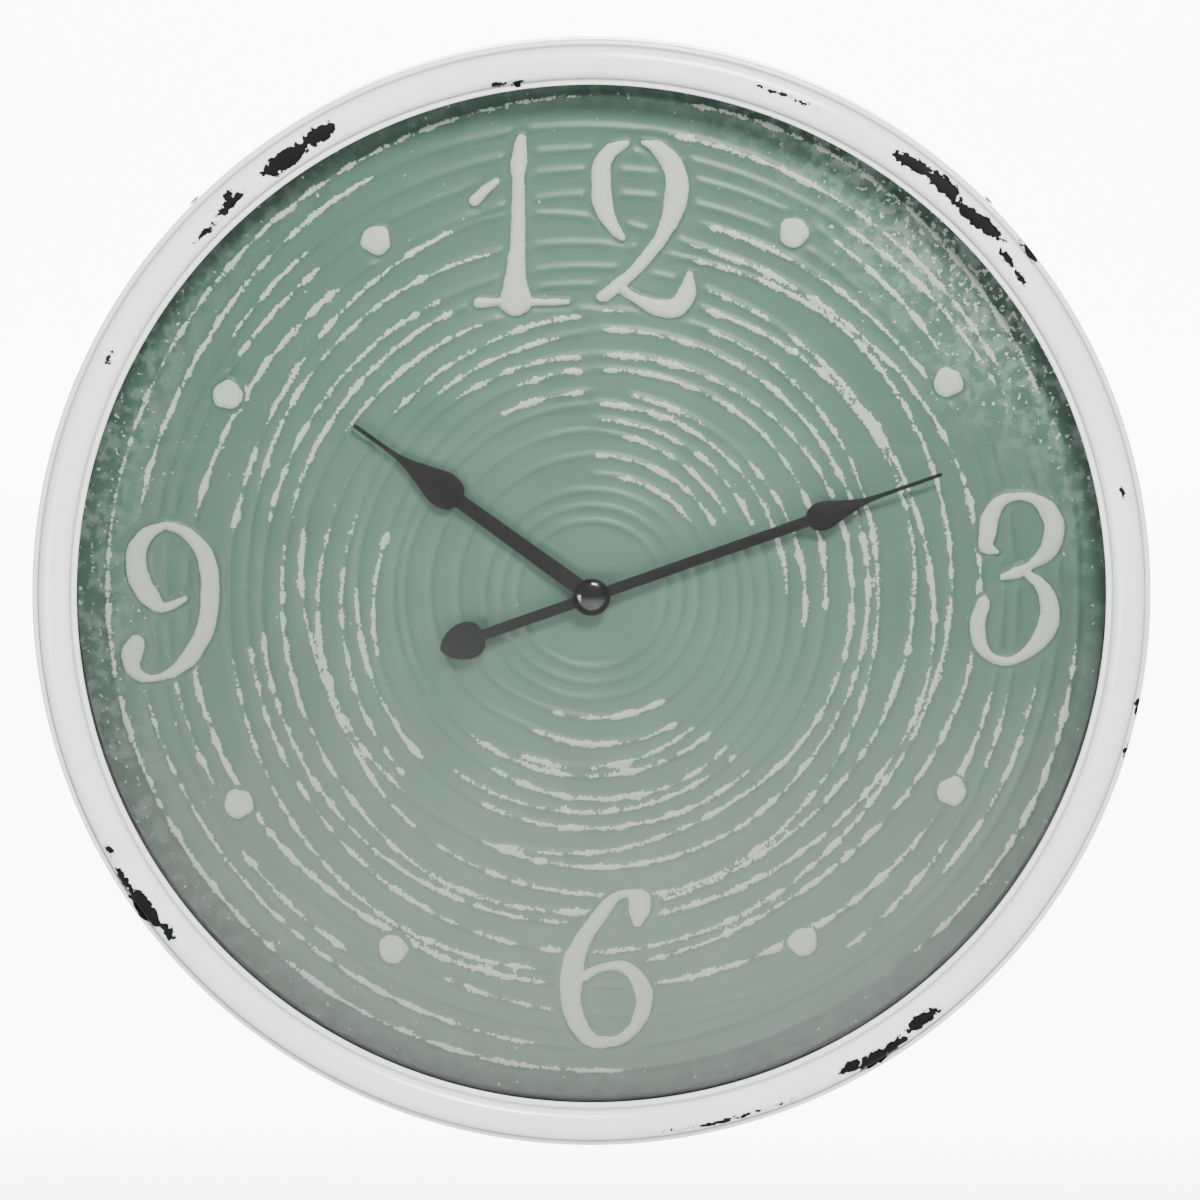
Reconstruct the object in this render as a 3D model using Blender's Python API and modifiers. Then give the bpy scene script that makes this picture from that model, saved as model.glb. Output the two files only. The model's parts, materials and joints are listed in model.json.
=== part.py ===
"""Large round wall clock: a bezel, glass and embossed dial on a pressed case ring, with a quartz movement.

World axes, in metres: +Z points at twelve o'clock, -Y out of the dial, +Y at the wall. The origin is the
centre of the bounding box, on the axis of the hands. Sizes below are in millimetres.
"""
import math

import bmesh
import bpy
from mathutils import Matrix, Vector

MM = 0.001

# Overall sizes
OUTER_DIAMETER = 600.0
OVERALL_DEPTH = 55.0
RIM_WIDTH = 24.0            # from the outside of the bezel in to its lip

# Clearances
GAP = 0.3                   # between two pieces that touch
BEAD_BEHIND = 6.0           # from the bead's crest back to the lip

# Sheet metal
BEZEL_SHEET = 1.2
BAND_SHEET = 1.2
DIAL_SHEET = 0.8
HAND_SHEET = 0.6
SKIRT_OVERLAP = 8.0         # how far the bezel's skirt covers the case ring behind the dial ledge
SHOULDER_WIDTH = 3.5        # flat band outside the bead
DIAL_LEDGE = 36.0           # how far the ledge behind the dial reaches inwards
REAR_FLANGE = 18.5

# Glass and what holds it
GASKET_THICKNESS = 1.4
GASKET_WIDTH = 14.0
GASKET_INSET = 0.8          # from the lip's edge to the gasket
GLASS_THICKNESS = 3.0
GLASS_EDGE = 0.4
HAND_SPACE = 18.0           # from the back of the glass to the dial
SPACER_WALL = 1.5

# Hands
MINUTE_ANGLE = 70.5         # clockwise from twelve
HOUR_ANGLE = 306.0
MINUTE_LENGTH = 200.0
MINUTE_TAIL = 86.5
MINUTE_BAR = 5.6
MINUTE_SHOULDER = 0.60      # where the blade starts to swell, as a share of the hand's length
MINUTE_WIDEST = 0.66
MINUTE_BLADE = 15.5
MINUTE_TIP = 2.0
MINUTE_BOSS = 9.0
TAIL_SHOULDER = 0.70        # as a share of the tail's length
TAIL_BLADE = 19.0
HOUR_LENGTH = 158.0
HOUR_BAR = 8.0
HOUR_SHOULDER = 0.53
HOUR_WIDEST = 0.63
HOUR_BLADE = 19.5
HOUR_TIP = 3.0
HOUR_BOSS = 9.5
HUB_CAP_RADIUS = 10.2
HUB_CAP_HEIGHT = 3.6
HUB_CAP_SKIRT = 1.0
HUB_CAP_SOCKET = 1.8        # how deep the minute arbor goes into the cap
BUSH_RISE = 0.6             # from the nut's front to the bush's front
HOUR_HAND_RISE = 3.2        # from the bush's front to the hour hand
HAND_SPACING = 3.6          # from the hour hand to the minute hand

# Arbors, pipes and the threaded bush
ARBOR_RADIUS = 1.5
ARBOR_BORE = 1.6            # how deep the seconds wheel's pivot hole is
PIPE_WALL = 0.7
BUSH_WALL = 1.4
NUT_HEIGHT = 2.0
NUT_MARGIN = 2.4
WASHER_THICKNESS = 0.5
WASHER_MARGIN = 3.4
RUBBER_THICKNESS = 1.0
RUBBER_MARGIN = 6.0

# Movement
MOVEMENT_WIDTH = 56.0
MOVEMENT_TOP = 28.0
MOVEMENT_WALL = 1.5
COVER_THICKNESS = 1.2
PLATE_LEDGE = 1.0
TRAIN_PLATE = 0.8
BATTERY_DIAMETER = 14.5
BATTERY_LENGTH = 49.5
BATTERY_NUB = 1.0
NUB_RADIUS = 2.6
CONTACT_SHEET = 0.4
CONTACT_MARGIN = 2.0        # from the edge of the bay to the contact
PIVOT_RADIUS = 0.6
CORNER_POST = 7.0
SMALL_SCREW_RADIUS = 0.8
SMALL_SCREW_REACH = 6.0     # how far a movement screw goes into the housing
CUT_REACH = 2.0             # how far a cutter passes the face it opens

# Motion work between the cover and the train plate
MOTION_DISTANCE = 11.4
CANNON_TEETH = 12
MOTION_TEETH = 36
MOTION_PINION_TEETH = 10
HOUR_TEETH = 40
SET_TEETH = 12
MOTION_DIRECTION = 180.0    # anticlockwise from three o'clock, seen from the front
SET_DIRECTION = 150.0
WHEEL_THICKNESS = 1.2
THIN_WHEEL = 0.8
KNOB_RADIUS = 4.2
KNOB_HEIGHT = 1.8
KNOB_RIDGES = 20

# Going train behind the train plate
TRAIN_MODULE = 0.3
PINION_TEETH = 8
CENTRE_TEETH = 64
THIRD_TEETH = 60
SECONDS_TEETH = 48
INTERMEDIATE_TEETH = 40
THIRD_DIRECTION = 110.0
INTERMEDIATE_DIRECTION = 10.0
ROTOR_DIRECTION = 20.0
MAGNET_RADIUS = 3.0
MAGNET_HEIGHT = 2.6
COIL_RADIUS = 2.9
CORE_WIDTH = 3.0
CORE_THICKNESS = 1.2
STATOR_THICKNESS = 1.4
STATOR_RING = 2.2           # iron round the magnet
STATOR_BAR = 4.0
STATOR_ARM_RISE = 2.5       # from the third wheel's pivot to the stator's arm
CORE_RISE = 1.5             # how far the core reaches above the middle of the corner posts

# Circuit board
BOARD_THICKNESS = 1.0
BOARD_WALL_SPACE = 0.5
BOARD_COIL_SPACE = 1.4
BOARD_STEM_SPACE = 1.5
CHIP_RADIUS = 1.8
CHIP_HEIGHT = 1.2
CHIP_RISE = 2.3             # from the board's lower edge to the chip's middle
CRYSTAL_RADIUS = 1.5
CRYSTAL_LENGTH = 5.0
CRYSTAL_DROP = 1.8          # from the board's upper edge to the crystal's middle

# Tooth shape, in modules and in shares of one tooth pitch
ADDENDUM = 0.7
DEDENDUM = 1.0
TOOTH_ROOT = 0.23
TOOTH_TIP = 0.10

# Hanging and fastening
HANGER_WIDTH = 56.0
HANGER_HEIGHT = 40.0
HANGER_SHEET = 2.0
KEYHOLE_HEAD_RADIUS = 5.0
KEYHOLE_SLOT_RADIUS = 2.6
KEYHOLE_RISE = 9.0
RIVET_RADIUS = 1.6
RIVET_HEAD_RADIUS = 3.2
RIVET_HEAD = 1.0
RIVET_SPACING = 40.0
BUMPER_RADIUS = 8.0
BUMPER_HEIGHT = 3.6
BUMPER_ANGLE = 38.0         # each side of six o'clock
SCREW_RADIUS = 1.5
SCREW_HEAD_RADIUS = 3.2
SCREW_HEAD = 1.2
SCREW_LENGTH = 7.0
SCREW_COUNT = 4
HOLE_TWIST = 7.0            # keeps the corners of a screw hole off the edges between the ring's facets

# Smoothness
RING_STEPS = 72
ROUND_STEPS = 24
SMALL_STEPS = 12
BEAD_STEPS = 6

# Radii worked out from the sizes
OUTER = OUTER_DIAMETER / 2
OPENING = OUTER - RIM_WIDTH
BAND_OUTER = OUTER - BEZEL_SHEET - GAP
BAND_INNER = BAND_OUTER - BAND_SHEET
STACK_RADIUS = BAND_INNER - GAP - 2 * BAND_SHEET
BEAD_INNER = OPENING + 3.6
BEAD_OUTER = OUTER - SHOULDER_WIDTH
SPACER_INNER = OPENING + 1.5
SPACER_OUTER = SPACER_INNER + SPACER_WALL
PIPE_BORE = ARBOR_RADIUS + GAP
PIPE_OUTER = PIPE_BORE + PIPE_WALL
BUSH_BORE = PIPE_OUTER + GAP
BUSH_OUTER = BUSH_BORE + BUSH_WALL
MOTION_MODULE = 2 * MOTION_DISTANCE / (CANNON_TEETH + MOTION_TEETH)
HOUR_MODULE = 2 * MOTION_DISTANCE / (MOTION_PINION_TEETH + HOUR_TEETH)
SET_DISTANCE = MOTION_MODULE * (MOTION_TEETH + SET_TEETH) / 2
THIRD_DISTANCE = TRAIN_MODULE * (CENTRE_TEETH + PINION_TEETH) / 2
THIRD_MODULE = 2 * THIRD_DISTANCE / (THIRD_TEETH + PINION_TEETH)
INTERMEDIATE_DISTANCE = TRAIN_MODULE * (SECONDS_TEETH + PINION_TEETH) / 2
ROTOR_DISTANCE = TRAIN_MODULE * (INTERMEDIATE_TEETH + PINION_TEETH) / 2

# Places along the depth, as world Y in millimetres, from the front to the wall
CREST = -OVERALL_DEPTH / 2
WALL = OVERALL_DEPTH / 2
LIP = CREST + BEAD_BEHIND
LIP_BACK = LIP + BEZEL_SHEET
GASKET_FRONT = LIP_BACK + GAP
GLASS_FRONT = GASKET_FRONT + GASKET_THICKNESS + GAP
GLASS_BACK = GLASS_FRONT + GLASS_THICKNESS
DIAL_FRONT = GLASS_BACK + HAND_SPACE
DIAL_BACK = DIAL_FRONT + DIAL_SHEET
LEDGE_FRONT = DIAL_BACK + GAP
LEDGE_BACK = LEDGE_FRONT + BAND_SHEET
SKIRT_END = LEDGE_BACK + SKIRT_OVERLAP
FLANGE_BACK = WALL - BUMPER_HEIGHT - GAP
FLANGE_FRONT = FLANGE_BACK - BAND_SHEET
RUBBER_FRONT = DIAL_BACK + GAP
COVER_FRONT = RUBBER_FRONT + RUBBER_THICKNESS + GAP
COVER_BACK = COVER_FRONT + COVER_THICKNESS
HOUSING_FRONT = COVER_BACK + GAP
HOUR_WHEEL_FRONT = HOUSING_FRONT
MOTION_FRONT = HOUR_WHEEL_FRONT + WHEEL_THICKNESS + GAP
CENTRE_FRONT = MOTION_FRONT + WHEEL_THICKNESS + GAP
TRAIN_PLATE_FRONT = CENTRE_FRONT + THIN_WHEEL + GAP
TRAIN_PLATE_BACK = TRAIN_PLATE_FRONT + TRAIN_PLATE
THIRD_FRONT = TRAIN_PLATE_BACK + GAP
SECONDS_FRONT = THIRD_FRONT + THIN_WHEEL + GAP
INTERMEDIATE_FRONT = SECONDS_FRONT + THIN_WHEEL + GAP
MAGNET_FRONT = INTERMEDIATE_FRONT + THIN_WHEEL + GAP
STATOR_FRONT = MAGNET_FRONT + (MAGNET_HEIGHT - STATOR_THICKNESS) / 2
CORE_BACK = STATOR_FRONT - GAP
COIL_DEPTH = CORE_BACK - CORE_THICKNESS / 2
TRAIN_BACK = max(MAGNET_FRONT + MAGNET_HEIGHT, COIL_DEPTH + COIL_RADIUS) + GAP
HOUSING_BACK = max(HOUSING_FRONT + BATTERY_DIAMETER, TRAIN_BACK + COVER_THICKNESS)
POCKET_BACK = HOUSING_BACK - COVER_THICKNESS
WASHER_FRONT = DIAL_FRONT - GAP - WASHER_THICKNESS
NUT_FRONT = WASHER_FRONT - GAP - NUT_HEIGHT
BUSH_FRONT = NUT_FRONT - BUSH_RISE
HOUR_HAND_FRONT = BUSH_FRONT - HOUR_HAND_RISE
MINUTE_HAND_FRONT = HOUR_HAND_FRONT - HAND_SPACING
HUB_CAP_BACK = MINUTE_HAND_FRONT - GAP

# Widths of the movement's two compartments
HALF_WIDTH = MOVEMENT_WIDTH / 2
POCKET_HALF = HALF_WIDTH - MOVEMENT_WALL
HOUR_WHEEL_RADIUS = HOUR_MODULE * HOUR_TEETH / 2 + ADDENDUM * HOUR_MODULE
CENTRE_WHEEL_RADIUS = TRAIN_MODULE * (CENTRE_TEETH / 2 + ADDENDUM)
POCKET_BOTTOM = -(max(HOUR_WHEEL_RADIUS, CENTRE_WHEEL_RADIUS) + GAP)
BAY_TOP = POCKET_BOTTOM - MOVEMENT_WALL
BAY_BOTTOM = BAY_TOP - BATTERY_DIAMETER - 2 * GAP
MOVEMENT_BOTTOM = BAY_BOTTOM - MOVEMENT_WALL
BATTERY_HEIGHT = (BAY_TOP + BAY_BOTTOM) / 2
BATTERY_DEPTH = (HOUSING_FRONT + HOUSING_BACK) / 2

BLACK_ENAMEL = (0.012, 0.012, 0.013)
WHITE_ENAMEL = (0.72, 0.72, 0.75)
DIAL_GREEN = (0.17, 0.29, 0.22)
CHARCOAL = (0.035, 0.033, 0.033)
STEEL = (0.55, 0.56, 0.57)
BRASS = (0.72, 0.50, 0.20)
COPPER = (0.70, 0.30, 0.15)
ACETAL = (0.80, 0.80, 0.76)
BLACK_PLASTIC = (0.02, 0.02, 0.02)


# ---------------------------------------------------------------- helpers

def clear_scene():
    """Removes whatever the file already holds."""
    for obj in list(bpy.data.objects):
        bpy.data.objects.remove(obj, do_unlink=True)


def make_collection(name):
    """A collection of this name, linked to the scene."""
    collection = bpy.data.collections.new(name)
    bpy.context.scene.collection.children.link(collection)
    return collection


def make_material(name, colour, roughness, metallic, alpha=1.0):
    """A Principled material."""
    material = bpy.data.materials.new(name)
    material.use_nodes = True
    shader = material.node_tree.nodes["Principled BSDF"]
    shader.inputs["Base Color"].default_value = (*colour, 1.0)
    shader.inputs["Roughness"].default_value = roughness
    shader.inputs["Metallic"].default_value = metallic
    shader.inputs["Alpha"].default_value = alpha
    return material


def facing_front(clockwise=0.0):
    """Turns a flat or turned shape so that its local +Z points out of the dial and its +Y at this angle."""
    return Matrix.Rotation(math.radians(clockwise), 4, "Y") @ Matrix.Rotation(math.radians(90), 4, "X")


def on_dial(radius, direction):
    """The point (x, z) at this radius, in this direction anticlockwise from three o'clock."""
    angle = math.radians(direction)
    return (radius * math.cos(angle), radius * math.sin(angle))


def place(obj, parts, material, matrix=None):
    """Links a sub-part to the object's collection, in its material."""
    parts.objects.link(obj)
    obj.data.materials.clear()
    obj.data.materials.append(material)
    if matrix is not None:
        obj.matrix_world = matrix
    return obj


def shade_round(obj):
    """Smooth shading that keeps edges sharp."""
    obj.data.shade_smooth()
    obj.data.set_sharp_from_angle(angle=math.radians(35))


def apply_modifiers(obj):
    """Replaces the object's mesh with what its modifiers make of it."""
    graph = bpy.context.evaluated_depsgraph_get()
    mesh = bpy.data.meshes.new_from_object(obj.evaluated_get(graph))
    obj.modifiers.clear()
    obj.data = mesh


def flat_sheet(name, outlines, thickness, middle):
    """A mesh cut from flat sheet that faces the front.

    outlines are closed lists of (x, z); those after the first are holes. middle is the sheet's middle in Y.
    """
    curve = bpy.data.curves.new(name, "CURVE")
    curve.dimensions = "2D"
    curve.fill_mode = "BOTH"
    curve.extrude = thickness * MM / 2
    for outline in outlines:
        spline = curve.splines.new("POLY")
        spline.points.add(len(outline) - 1)
        spline.use_cyclic_u = True
        for point, (x, z) in zip(spline.points, outline):
            point.co = (x * MM, z * MM, 0.0, 1.0)
    guide = bpy.data.objects.new(name + "_outline", curve)
    bpy.context.scene.collection.objects.link(guide)
    bpy.context.view_layer.update()
    graph = bpy.context.evaluated_depsgraph_get()
    mesh = bpy.data.meshes.new_from_object(guide.evaluated_get(graph))
    bpy.data.objects.remove(guide, do_unlink=True)
    bpy.data.curves.remove(curve)
    mesh.name = name
    welded = bmesh.new()
    welded.from_mesh(mesh)
    bmesh.ops.remove_doubles(welded, verts=welded.verts, dist=0.000001)
    bmesh.ops.recalc_face_normals(welded, faces=welded.faces)
    welded.to_mesh(mesh)
    welded.free()
    mesh.transform(Matrix.Translation((0.0, middle * MM, 0.0)) @ facing_front())
    return bpy.data.objects.new(name, mesh)


def circle(radius, centre=(0.0, 0.0), steps=ROUND_STEPS):
    """A circle as a list of (x, z)."""
    points = []
    for step in range(steps):
        angle = 2 * math.pi * step / steps
        points.append((centre[0] + radius * math.cos(angle), centre[1] + radius * math.sin(angle)))
    return points


def turned(name, profile, steps, closed, centre=(0.0, 0.0)):
    """A shape turned about an axis along Y.

    profile is a list of (radius, y), front to back down its outer side. A closed profile is a ring's section,
    and an open one starts and ends on the axis.
    """
    mesh = bpy.data.meshes.new(name)
    points = [(radius * MM, 0.0, -y * MM) for radius, y in profile]
    edges = [(index, index + 1) for index in range(len(points) - 1)]
    if closed:
        edges.append((len(points) - 1, 0))
    mesh.from_pydata(points, edges, [])
    obj = bpy.data.objects.new(name, mesh)
    bpy.context.scene.collection.objects.link(obj)
    screw = obj.modifiers.new("Turn", "SCREW")
    screw.axis = "Z"
    screw.steps = steps
    screw.render_steps = steps
    screw.use_merge_vertices = True
    screw.merge_threshold = 0.000001
    bpy.context.view_layer.update()
    apply_modifiers(obj)
    bpy.context.scene.collection.objects.unlink(obj)
    obj.data.transform(Matrix.Translation((centre[0] * MM, 0.0, centre[1] * MM)) @ facing_front())
    return obj


def rod(name, radius, front, back, centre=(0.0, 0.0), steps=SMALL_STEPS):
    """A plain cylinder along Y."""
    made = bmesh.new()
    bmesh.ops.create_cone(
        made, cap_ends=True, segments=steps,
        radius1=radius * MM, radius2=radius * MM, depth=(back - front) * MM,
    )
    mesh = bpy.data.meshes.new(name)
    made.to_mesh(mesh)
    made.free()
    middle = (front + back) / 2
    mesh.transform(Matrix.Translation((centre[0] * MM, middle * MM, centre[1] * MM)) @ facing_front())
    return bpy.data.objects.new(name, mesh)


def block(name, low, high):
    """A box between two corners, given in millimetres."""
    size = [(b - a) * MM for a, b in zip(low, high)]
    middle = [(a + b) / 2 * MM for a, b in zip(low, high)]
    made = bmesh.new()
    bmesh.ops.create_cube(made, size=1.0, matrix=Matrix.Translation(middle) @ Matrix.Diagonal((*size, 1.0)))
    mesh = bpy.data.meshes.new(name)
    made.to_mesh(mesh)
    made.free()
    return bpy.data.objects.new(name, mesh)


def combine(obj, others, cutters, operation):
    """Joins others to obj, or cuts them from it, with exact Booleans."""
    scene_objects = bpy.context.scene.collection.objects
    scene_objects.link(obj)
    for index, other in enumerate(others):
        cutters.objects.link(other)
        other.hide_render = True
        other.display_type = "WIRE"
        modifier = obj.modifiers.new(f"{operation.title()} {index}", "BOOLEAN")
        modifier.operation = operation
        modifier.solver = "EXACT"
        modifier.object = other
    bpy.context.view_layer.update()
    apply_modifiers(obj)
    scene_objects.unlink(obj)
    return obj


# ---------------------------------------------------------------- toothed wheels

def toothed_outline(teeth, module, phase):
    """The outline of a wheel whose first tooth points at phase, in radians anticlockwise from three o'clock."""
    pitch_radius = module * teeth / 2
    pitch = 2 * math.pi / teeth
    root = pitch_radius - DEDENDUM * module
    tip = pitch_radius + ADDENDUM * module
    corners = ((root, -TOOTH_ROOT), (tip, -TOOTH_TIP), (tip, TOOTH_TIP), (root, TOOTH_ROOT))
    outline = []
    for tooth in range(teeth):
        for radius, share in corners:
            angle = phase + (tooth + share) * pitch
            outline.append((radius * math.cos(angle), radius * math.sin(angle)))
    return outline


def meshing_phase(teeth, phase, other_teeth, direction):
    """The phase at which another wheel, standing in this direction from the first, has a gap at its tooth."""
    line = math.radians(direction)
    along = (phase - line) * teeth / (2 * math.pi)
    return line + math.pi - (2 * math.pi / other_teeth) * (along + 0.5)


def shifted(outline, centre):
    """The outline moved to a centre (x, z)."""
    return [(x + centre[0], z + centre[1]) for x, z in outline]


def wheel_disc(name, teeth, module, phase, centre, front, thickness, bore=None):
    """A toothed disc at a centre, with a round bore if one is given."""
    outlines = [shifted(toothed_outline(teeth, module, phase), centre)]
    if bore:
        outlines.append(circle(bore, centre, SMALL_STEPS))
    return flat_sheet(name, outlines, thickness, front + thickness / 2)


CANNON_PHASE = 0.0
MOTION_PHASE = meshing_phase(CANNON_TEETH, CANNON_PHASE, MOTION_TEETH, MOTION_DIRECTION)
MOTION_PINION_PHASE = 0.0
HOUR_PHASE = meshing_phase(MOTION_PINION_TEETH, MOTION_PINION_PHASE, HOUR_TEETH, MOTION_DIRECTION + 180)
SET_PHASE = meshing_phase(MOTION_TEETH, MOTION_PHASE, SET_TEETH, SET_DIRECTION)
ROTOR_PHASE = 0.0
INTERMEDIATE_PHASE = meshing_phase(PINION_TEETH, ROTOR_PHASE, INTERMEDIATE_TEETH, ROTOR_DIRECTION + 180)
SECONDS_PHASE = meshing_phase(PINION_TEETH, 0.0, SECONDS_TEETH, INTERMEDIATE_DIRECTION + 180)
THIRD_PHASE = meshing_phase(PINION_TEETH, 0.0, THIRD_TEETH, THIRD_DIRECTION)
CENTRE_PHASE = meshing_phase(PINION_TEETH, 0.0, CENTRE_TEETH, THIRD_DIRECTION + 180)

MOTION_CENTRE = on_dial(MOTION_DISTANCE, MOTION_DIRECTION)
SET_OFFSET = on_dial(SET_DISTANCE, SET_DIRECTION)
SET_CENTRE = (MOTION_CENTRE[0] + SET_OFFSET[0], MOTION_CENTRE[1] + SET_OFFSET[1])
THIRD_CENTRE = on_dial(THIRD_DISTANCE, THIRD_DIRECTION)
INTERMEDIATE_CENTRE = on_dial(INTERMEDIATE_DISTANCE, INTERMEDIATE_DIRECTION)
ROTOR_OFFSET = on_dial(ROTOR_DISTANCE, ROTOR_DIRECTION)
ROTOR_CENTRE = (INTERMEDIATE_CENTRE[0] + ROTOR_OFFSET[0], INTERMEDIATE_CENTRE[1] + ROTOR_OFFSET[1])


# ---------------------------------------------------------------- case, glass and dial

def bezel_section():
    """The bezel's outer line from its lip over the bead to the end of the skirt, then back along the inside."""
    middle = (BEAD_INNER + BEAD_OUTER) / 2
    half = (BEAD_OUTER - BEAD_INNER) / 2
    shoulder = LIP + 0.4
    outside = [(OPENING, LIP_BACK), (OPENING, LIP + 0.5), (OPENING + 0.5, LIP)]
    for step in range(BEAD_STEPS + 1):
        angle = math.pi * step / BEAD_STEPS
        rise = (LIP - CREST) * math.sin(angle)
        outside.append((middle - half * math.cos(angle), LIP - rise))
    outside += [(OUTER - 1.0, shoulder), (OUTER, shoulder + 1.0), (OUTER, SKIRT_END)]
    inside = [(OUTER - BEZEL_SHEET, SKIRT_END), (OUTER - BEZEL_SHEET, shoulder + BEZEL_SHEET + 0.6)]
    for step in range(BEAD_STEPS + 1):
        angle = math.pi * (1 - step / BEAD_STEPS)
        rise = (LIP - CREST) * math.sin(angle)
        inside.append((middle - (half - BEZEL_SHEET) * math.cos(angle), LIP_BACK - rise))
    return outside + inside


def make_bezel(parts, cutters):
    """The pressed front ring: lip, bead, shoulder and a skirt that slides over the case ring."""
    bezel = turned("front_bezel", bezel_section(), RING_STEPS, closed=True)
    holes = [radial_cutter(f"bezel_hole_{index}", index) for index in range(SCREW_COUNT)]
    combine(bezel, holes, cutters, "DIFFERENCE")
    shade_round(bezel)
    return place(bezel, parts, make_material("white_enamel", WHITE_ENAMEL, 0.35, 0.0))


def screw_direction(index):
    """The direction of one case screw, in degrees."""
    return 45.0 + 360.0 / SCREW_COUNT * index


def screw_height():
    """The case screws' place in Y, halfway along the part of the skirt that covers the case ring."""
    return LEDGE_BACK + SKIRT_OVERLAP / 2


def radial_matrix(index, radius):
    """Stands local +Z along one case screw's direction, at this radius."""
    direction = math.radians(screw_direction(index))
    turn = Matrix.Rotation(-direction, 4, "Y") @ Matrix.Rotation(math.radians(90), 4, "Y")
    x, z = on_dial(radius * MM, screw_direction(index))
    return Matrix.Translation((x, screw_height() * MM, z)) @ turn


def radial_cutter(name, index):
    """A cylinder that drills one case screw's hole through the skirt and the case ring."""
    made = bmesh.new()
    radius = (SCREW_RADIUS + GAP) * MM
    bmesh.ops.create_cone(made, cap_ends=True, segments=SMALL_STEPS, radius1=radius, radius2=radius, depth=0.02)
    mesh = bpy.data.meshes.new(name)
    made.to_mesh(mesh)
    made.free()
    mesh.transform(radial_matrix(index, OUTER) @ Matrix.Rotation(math.radians(HOLE_TWIST), 4, "Z"))
    return bpy.data.objects.new(name, mesh)


def make_case_screws(parts):
    """Pan-head screws through the skirt into the case ring."""
    profile = [
        (0.0, -SCREW_HEAD), (SCREW_HEAD_RADIUS * 0.7, -SCREW_HEAD * 0.85), (SCREW_HEAD_RADIUS, -SCREW_HEAD * 0.3),
        (SCREW_HEAD_RADIUS, 0.0), (SCREW_RADIUS, 0.0), (SCREW_RADIUS, SCREW_LENGTH), (0.0, SCREW_LENGTH),
    ]
    material = make_material("zinc_plated_steel", STEEL, 0.35, 1.0)
    for index in range(SCREW_COUNT):
        screw = turned(f"case_screw_{index + 1}", profile, SMALL_STEPS, closed=False)
        screw.data.transform(facing_front().inverted())
        shade_round(screw)
        place(screw, parts, material, radial_matrix(index, OUTER + GAP))


def make_case_ring(parts, cutters):
    """The case behind the dial: a rolled band, the ledge that the dial lies on, and the flange at the wall side."""
    coat = make_material("black_powder_coat", BLACK_ENAMEL, 0.5, 0.0)
    wall = [
        (BAND_OUTER, LEDGE_FRONT), (BAND_OUTER, FLANGE_BACK),
        (BAND_INNER, FLANGE_BACK), (BAND_INNER, LEDGE_FRONT),
    ]
    band = turned("case_band", wall, RING_STEPS, closed=True)
    drills = [radial_cutter(f"ring_hole_{index}", index) for index in range(SCREW_COUNT)]
    combine(band, drills, cutters, "DIFFERENCE")
    shade_round(band)
    place(band, parts, coat)
    inside = BAND_INNER - GAP
    shelf = [
        (inside, LEDGE_FRONT), (inside, LEDGE_BACK),
        (BAND_OUTER - DIAL_LEDGE, LEDGE_BACK), (BAND_OUTER - DIAL_LEDGE, LEDGE_FRONT),
    ]
    place(turned("dial_ledge", shelf, RING_STEPS, closed=True), parts, coat)
    rim = [
        (inside, FLANGE_FRONT), (inside, FLANGE_BACK),
        (BAND_OUTER - REAR_FLANGE, FLANGE_BACK), (BAND_OUTER - REAR_FLANGE, FLANGE_FRONT),
    ]
    flange = turned("rear_flange", rim, RING_STEPS, closed=True)
    low = FLANGE_FRONT - CUT_REACH
    high = FLANGE_BACK + CUT_REACH
    holes = []
    for index, centre in enumerate(rivet_centres()):
        holes.append(rod(f"ring_rivet_hole_{index}", RIVET_RADIUS + GAP, low, high, centre))
    for index, centre in enumerate(bumper_centres()):
        holes.append(rod(f"bumper_hole_{index}", BUMPER_RADIUS / 2, low, high, centre))
    combine(flange, holes, cutters, "DIFFERENCE")
    return place(flange, parts, coat)


def make_glass(parts):
    """The flat pane and the rubber ring between it and the lip."""
    gasket = [
        (OPENING + GASKET_WIDTH, GASKET_FRONT), (OPENING + GASKET_WIDTH, GASKET_FRONT + GASKET_THICKNESS),
        (OPENING + GASKET_INSET, GASKET_FRONT + GASKET_THICKNESS), (OPENING + GASKET_INSET, GASKET_FRONT),
    ]
    seal = turned("glass_gasket", gasket, RING_STEPS, closed=True)
    place(seal, parts, make_material("black_rubber", BLACK_PLASTIC, 0.8, 0.0))
    radius = OPENING + GASKET_WIDTH
    profile = [
        (0.0, GLASS_FRONT), (radius - GLASS_EDGE, GLASS_FRONT), (radius, GLASS_FRONT + GLASS_EDGE),
        (radius, GLASS_BACK - GLASS_EDGE), (radius - GLASS_EDGE, GLASS_BACK), (0.0, GLASS_BACK),
    ]
    glass = turned("glass_lens", profile, RING_STEPS, closed=False)
    place(glass, parts, make_material("float_glass", (0.9, 0.95, 0.93), 0.05, 0.0, alpha=0.35))


def make_dial(parts):
    """The dial sheet, and the spacer that holds the glass in front of it."""
    spacer = [
        (SPACER_OUTER, GLASS_BACK + GAP), (SPACER_OUTER, DIAL_FRONT - GAP),
        (SPACER_INNER, DIAL_FRONT - GAP), (SPACER_INNER, GLASS_BACK + GAP),
    ]
    ring = turned("glass_spacer", spacer, RING_STEPS, closed=True)
    shade_round(ring)
    place(ring, parts, make_material("black_board", BLACK_PLASTIC, 0.7, 0.0))
    section = [
        (STACK_RADIUS, DIAL_FRONT), (STACK_RADIUS, DIAL_BACK),
        (BUSH_OUTER + GAP, DIAL_BACK), (BUSH_OUTER + GAP, DIAL_FRONT),
    ]
    dial = turned("dial_plate", section, RING_STEPS, closed=True)
    place(dial, parts, make_material("embossed_tinplate", DIAL_GREEN, 0.5, 0.3))


# ---------------------------------------------------------------- hanging

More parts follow.
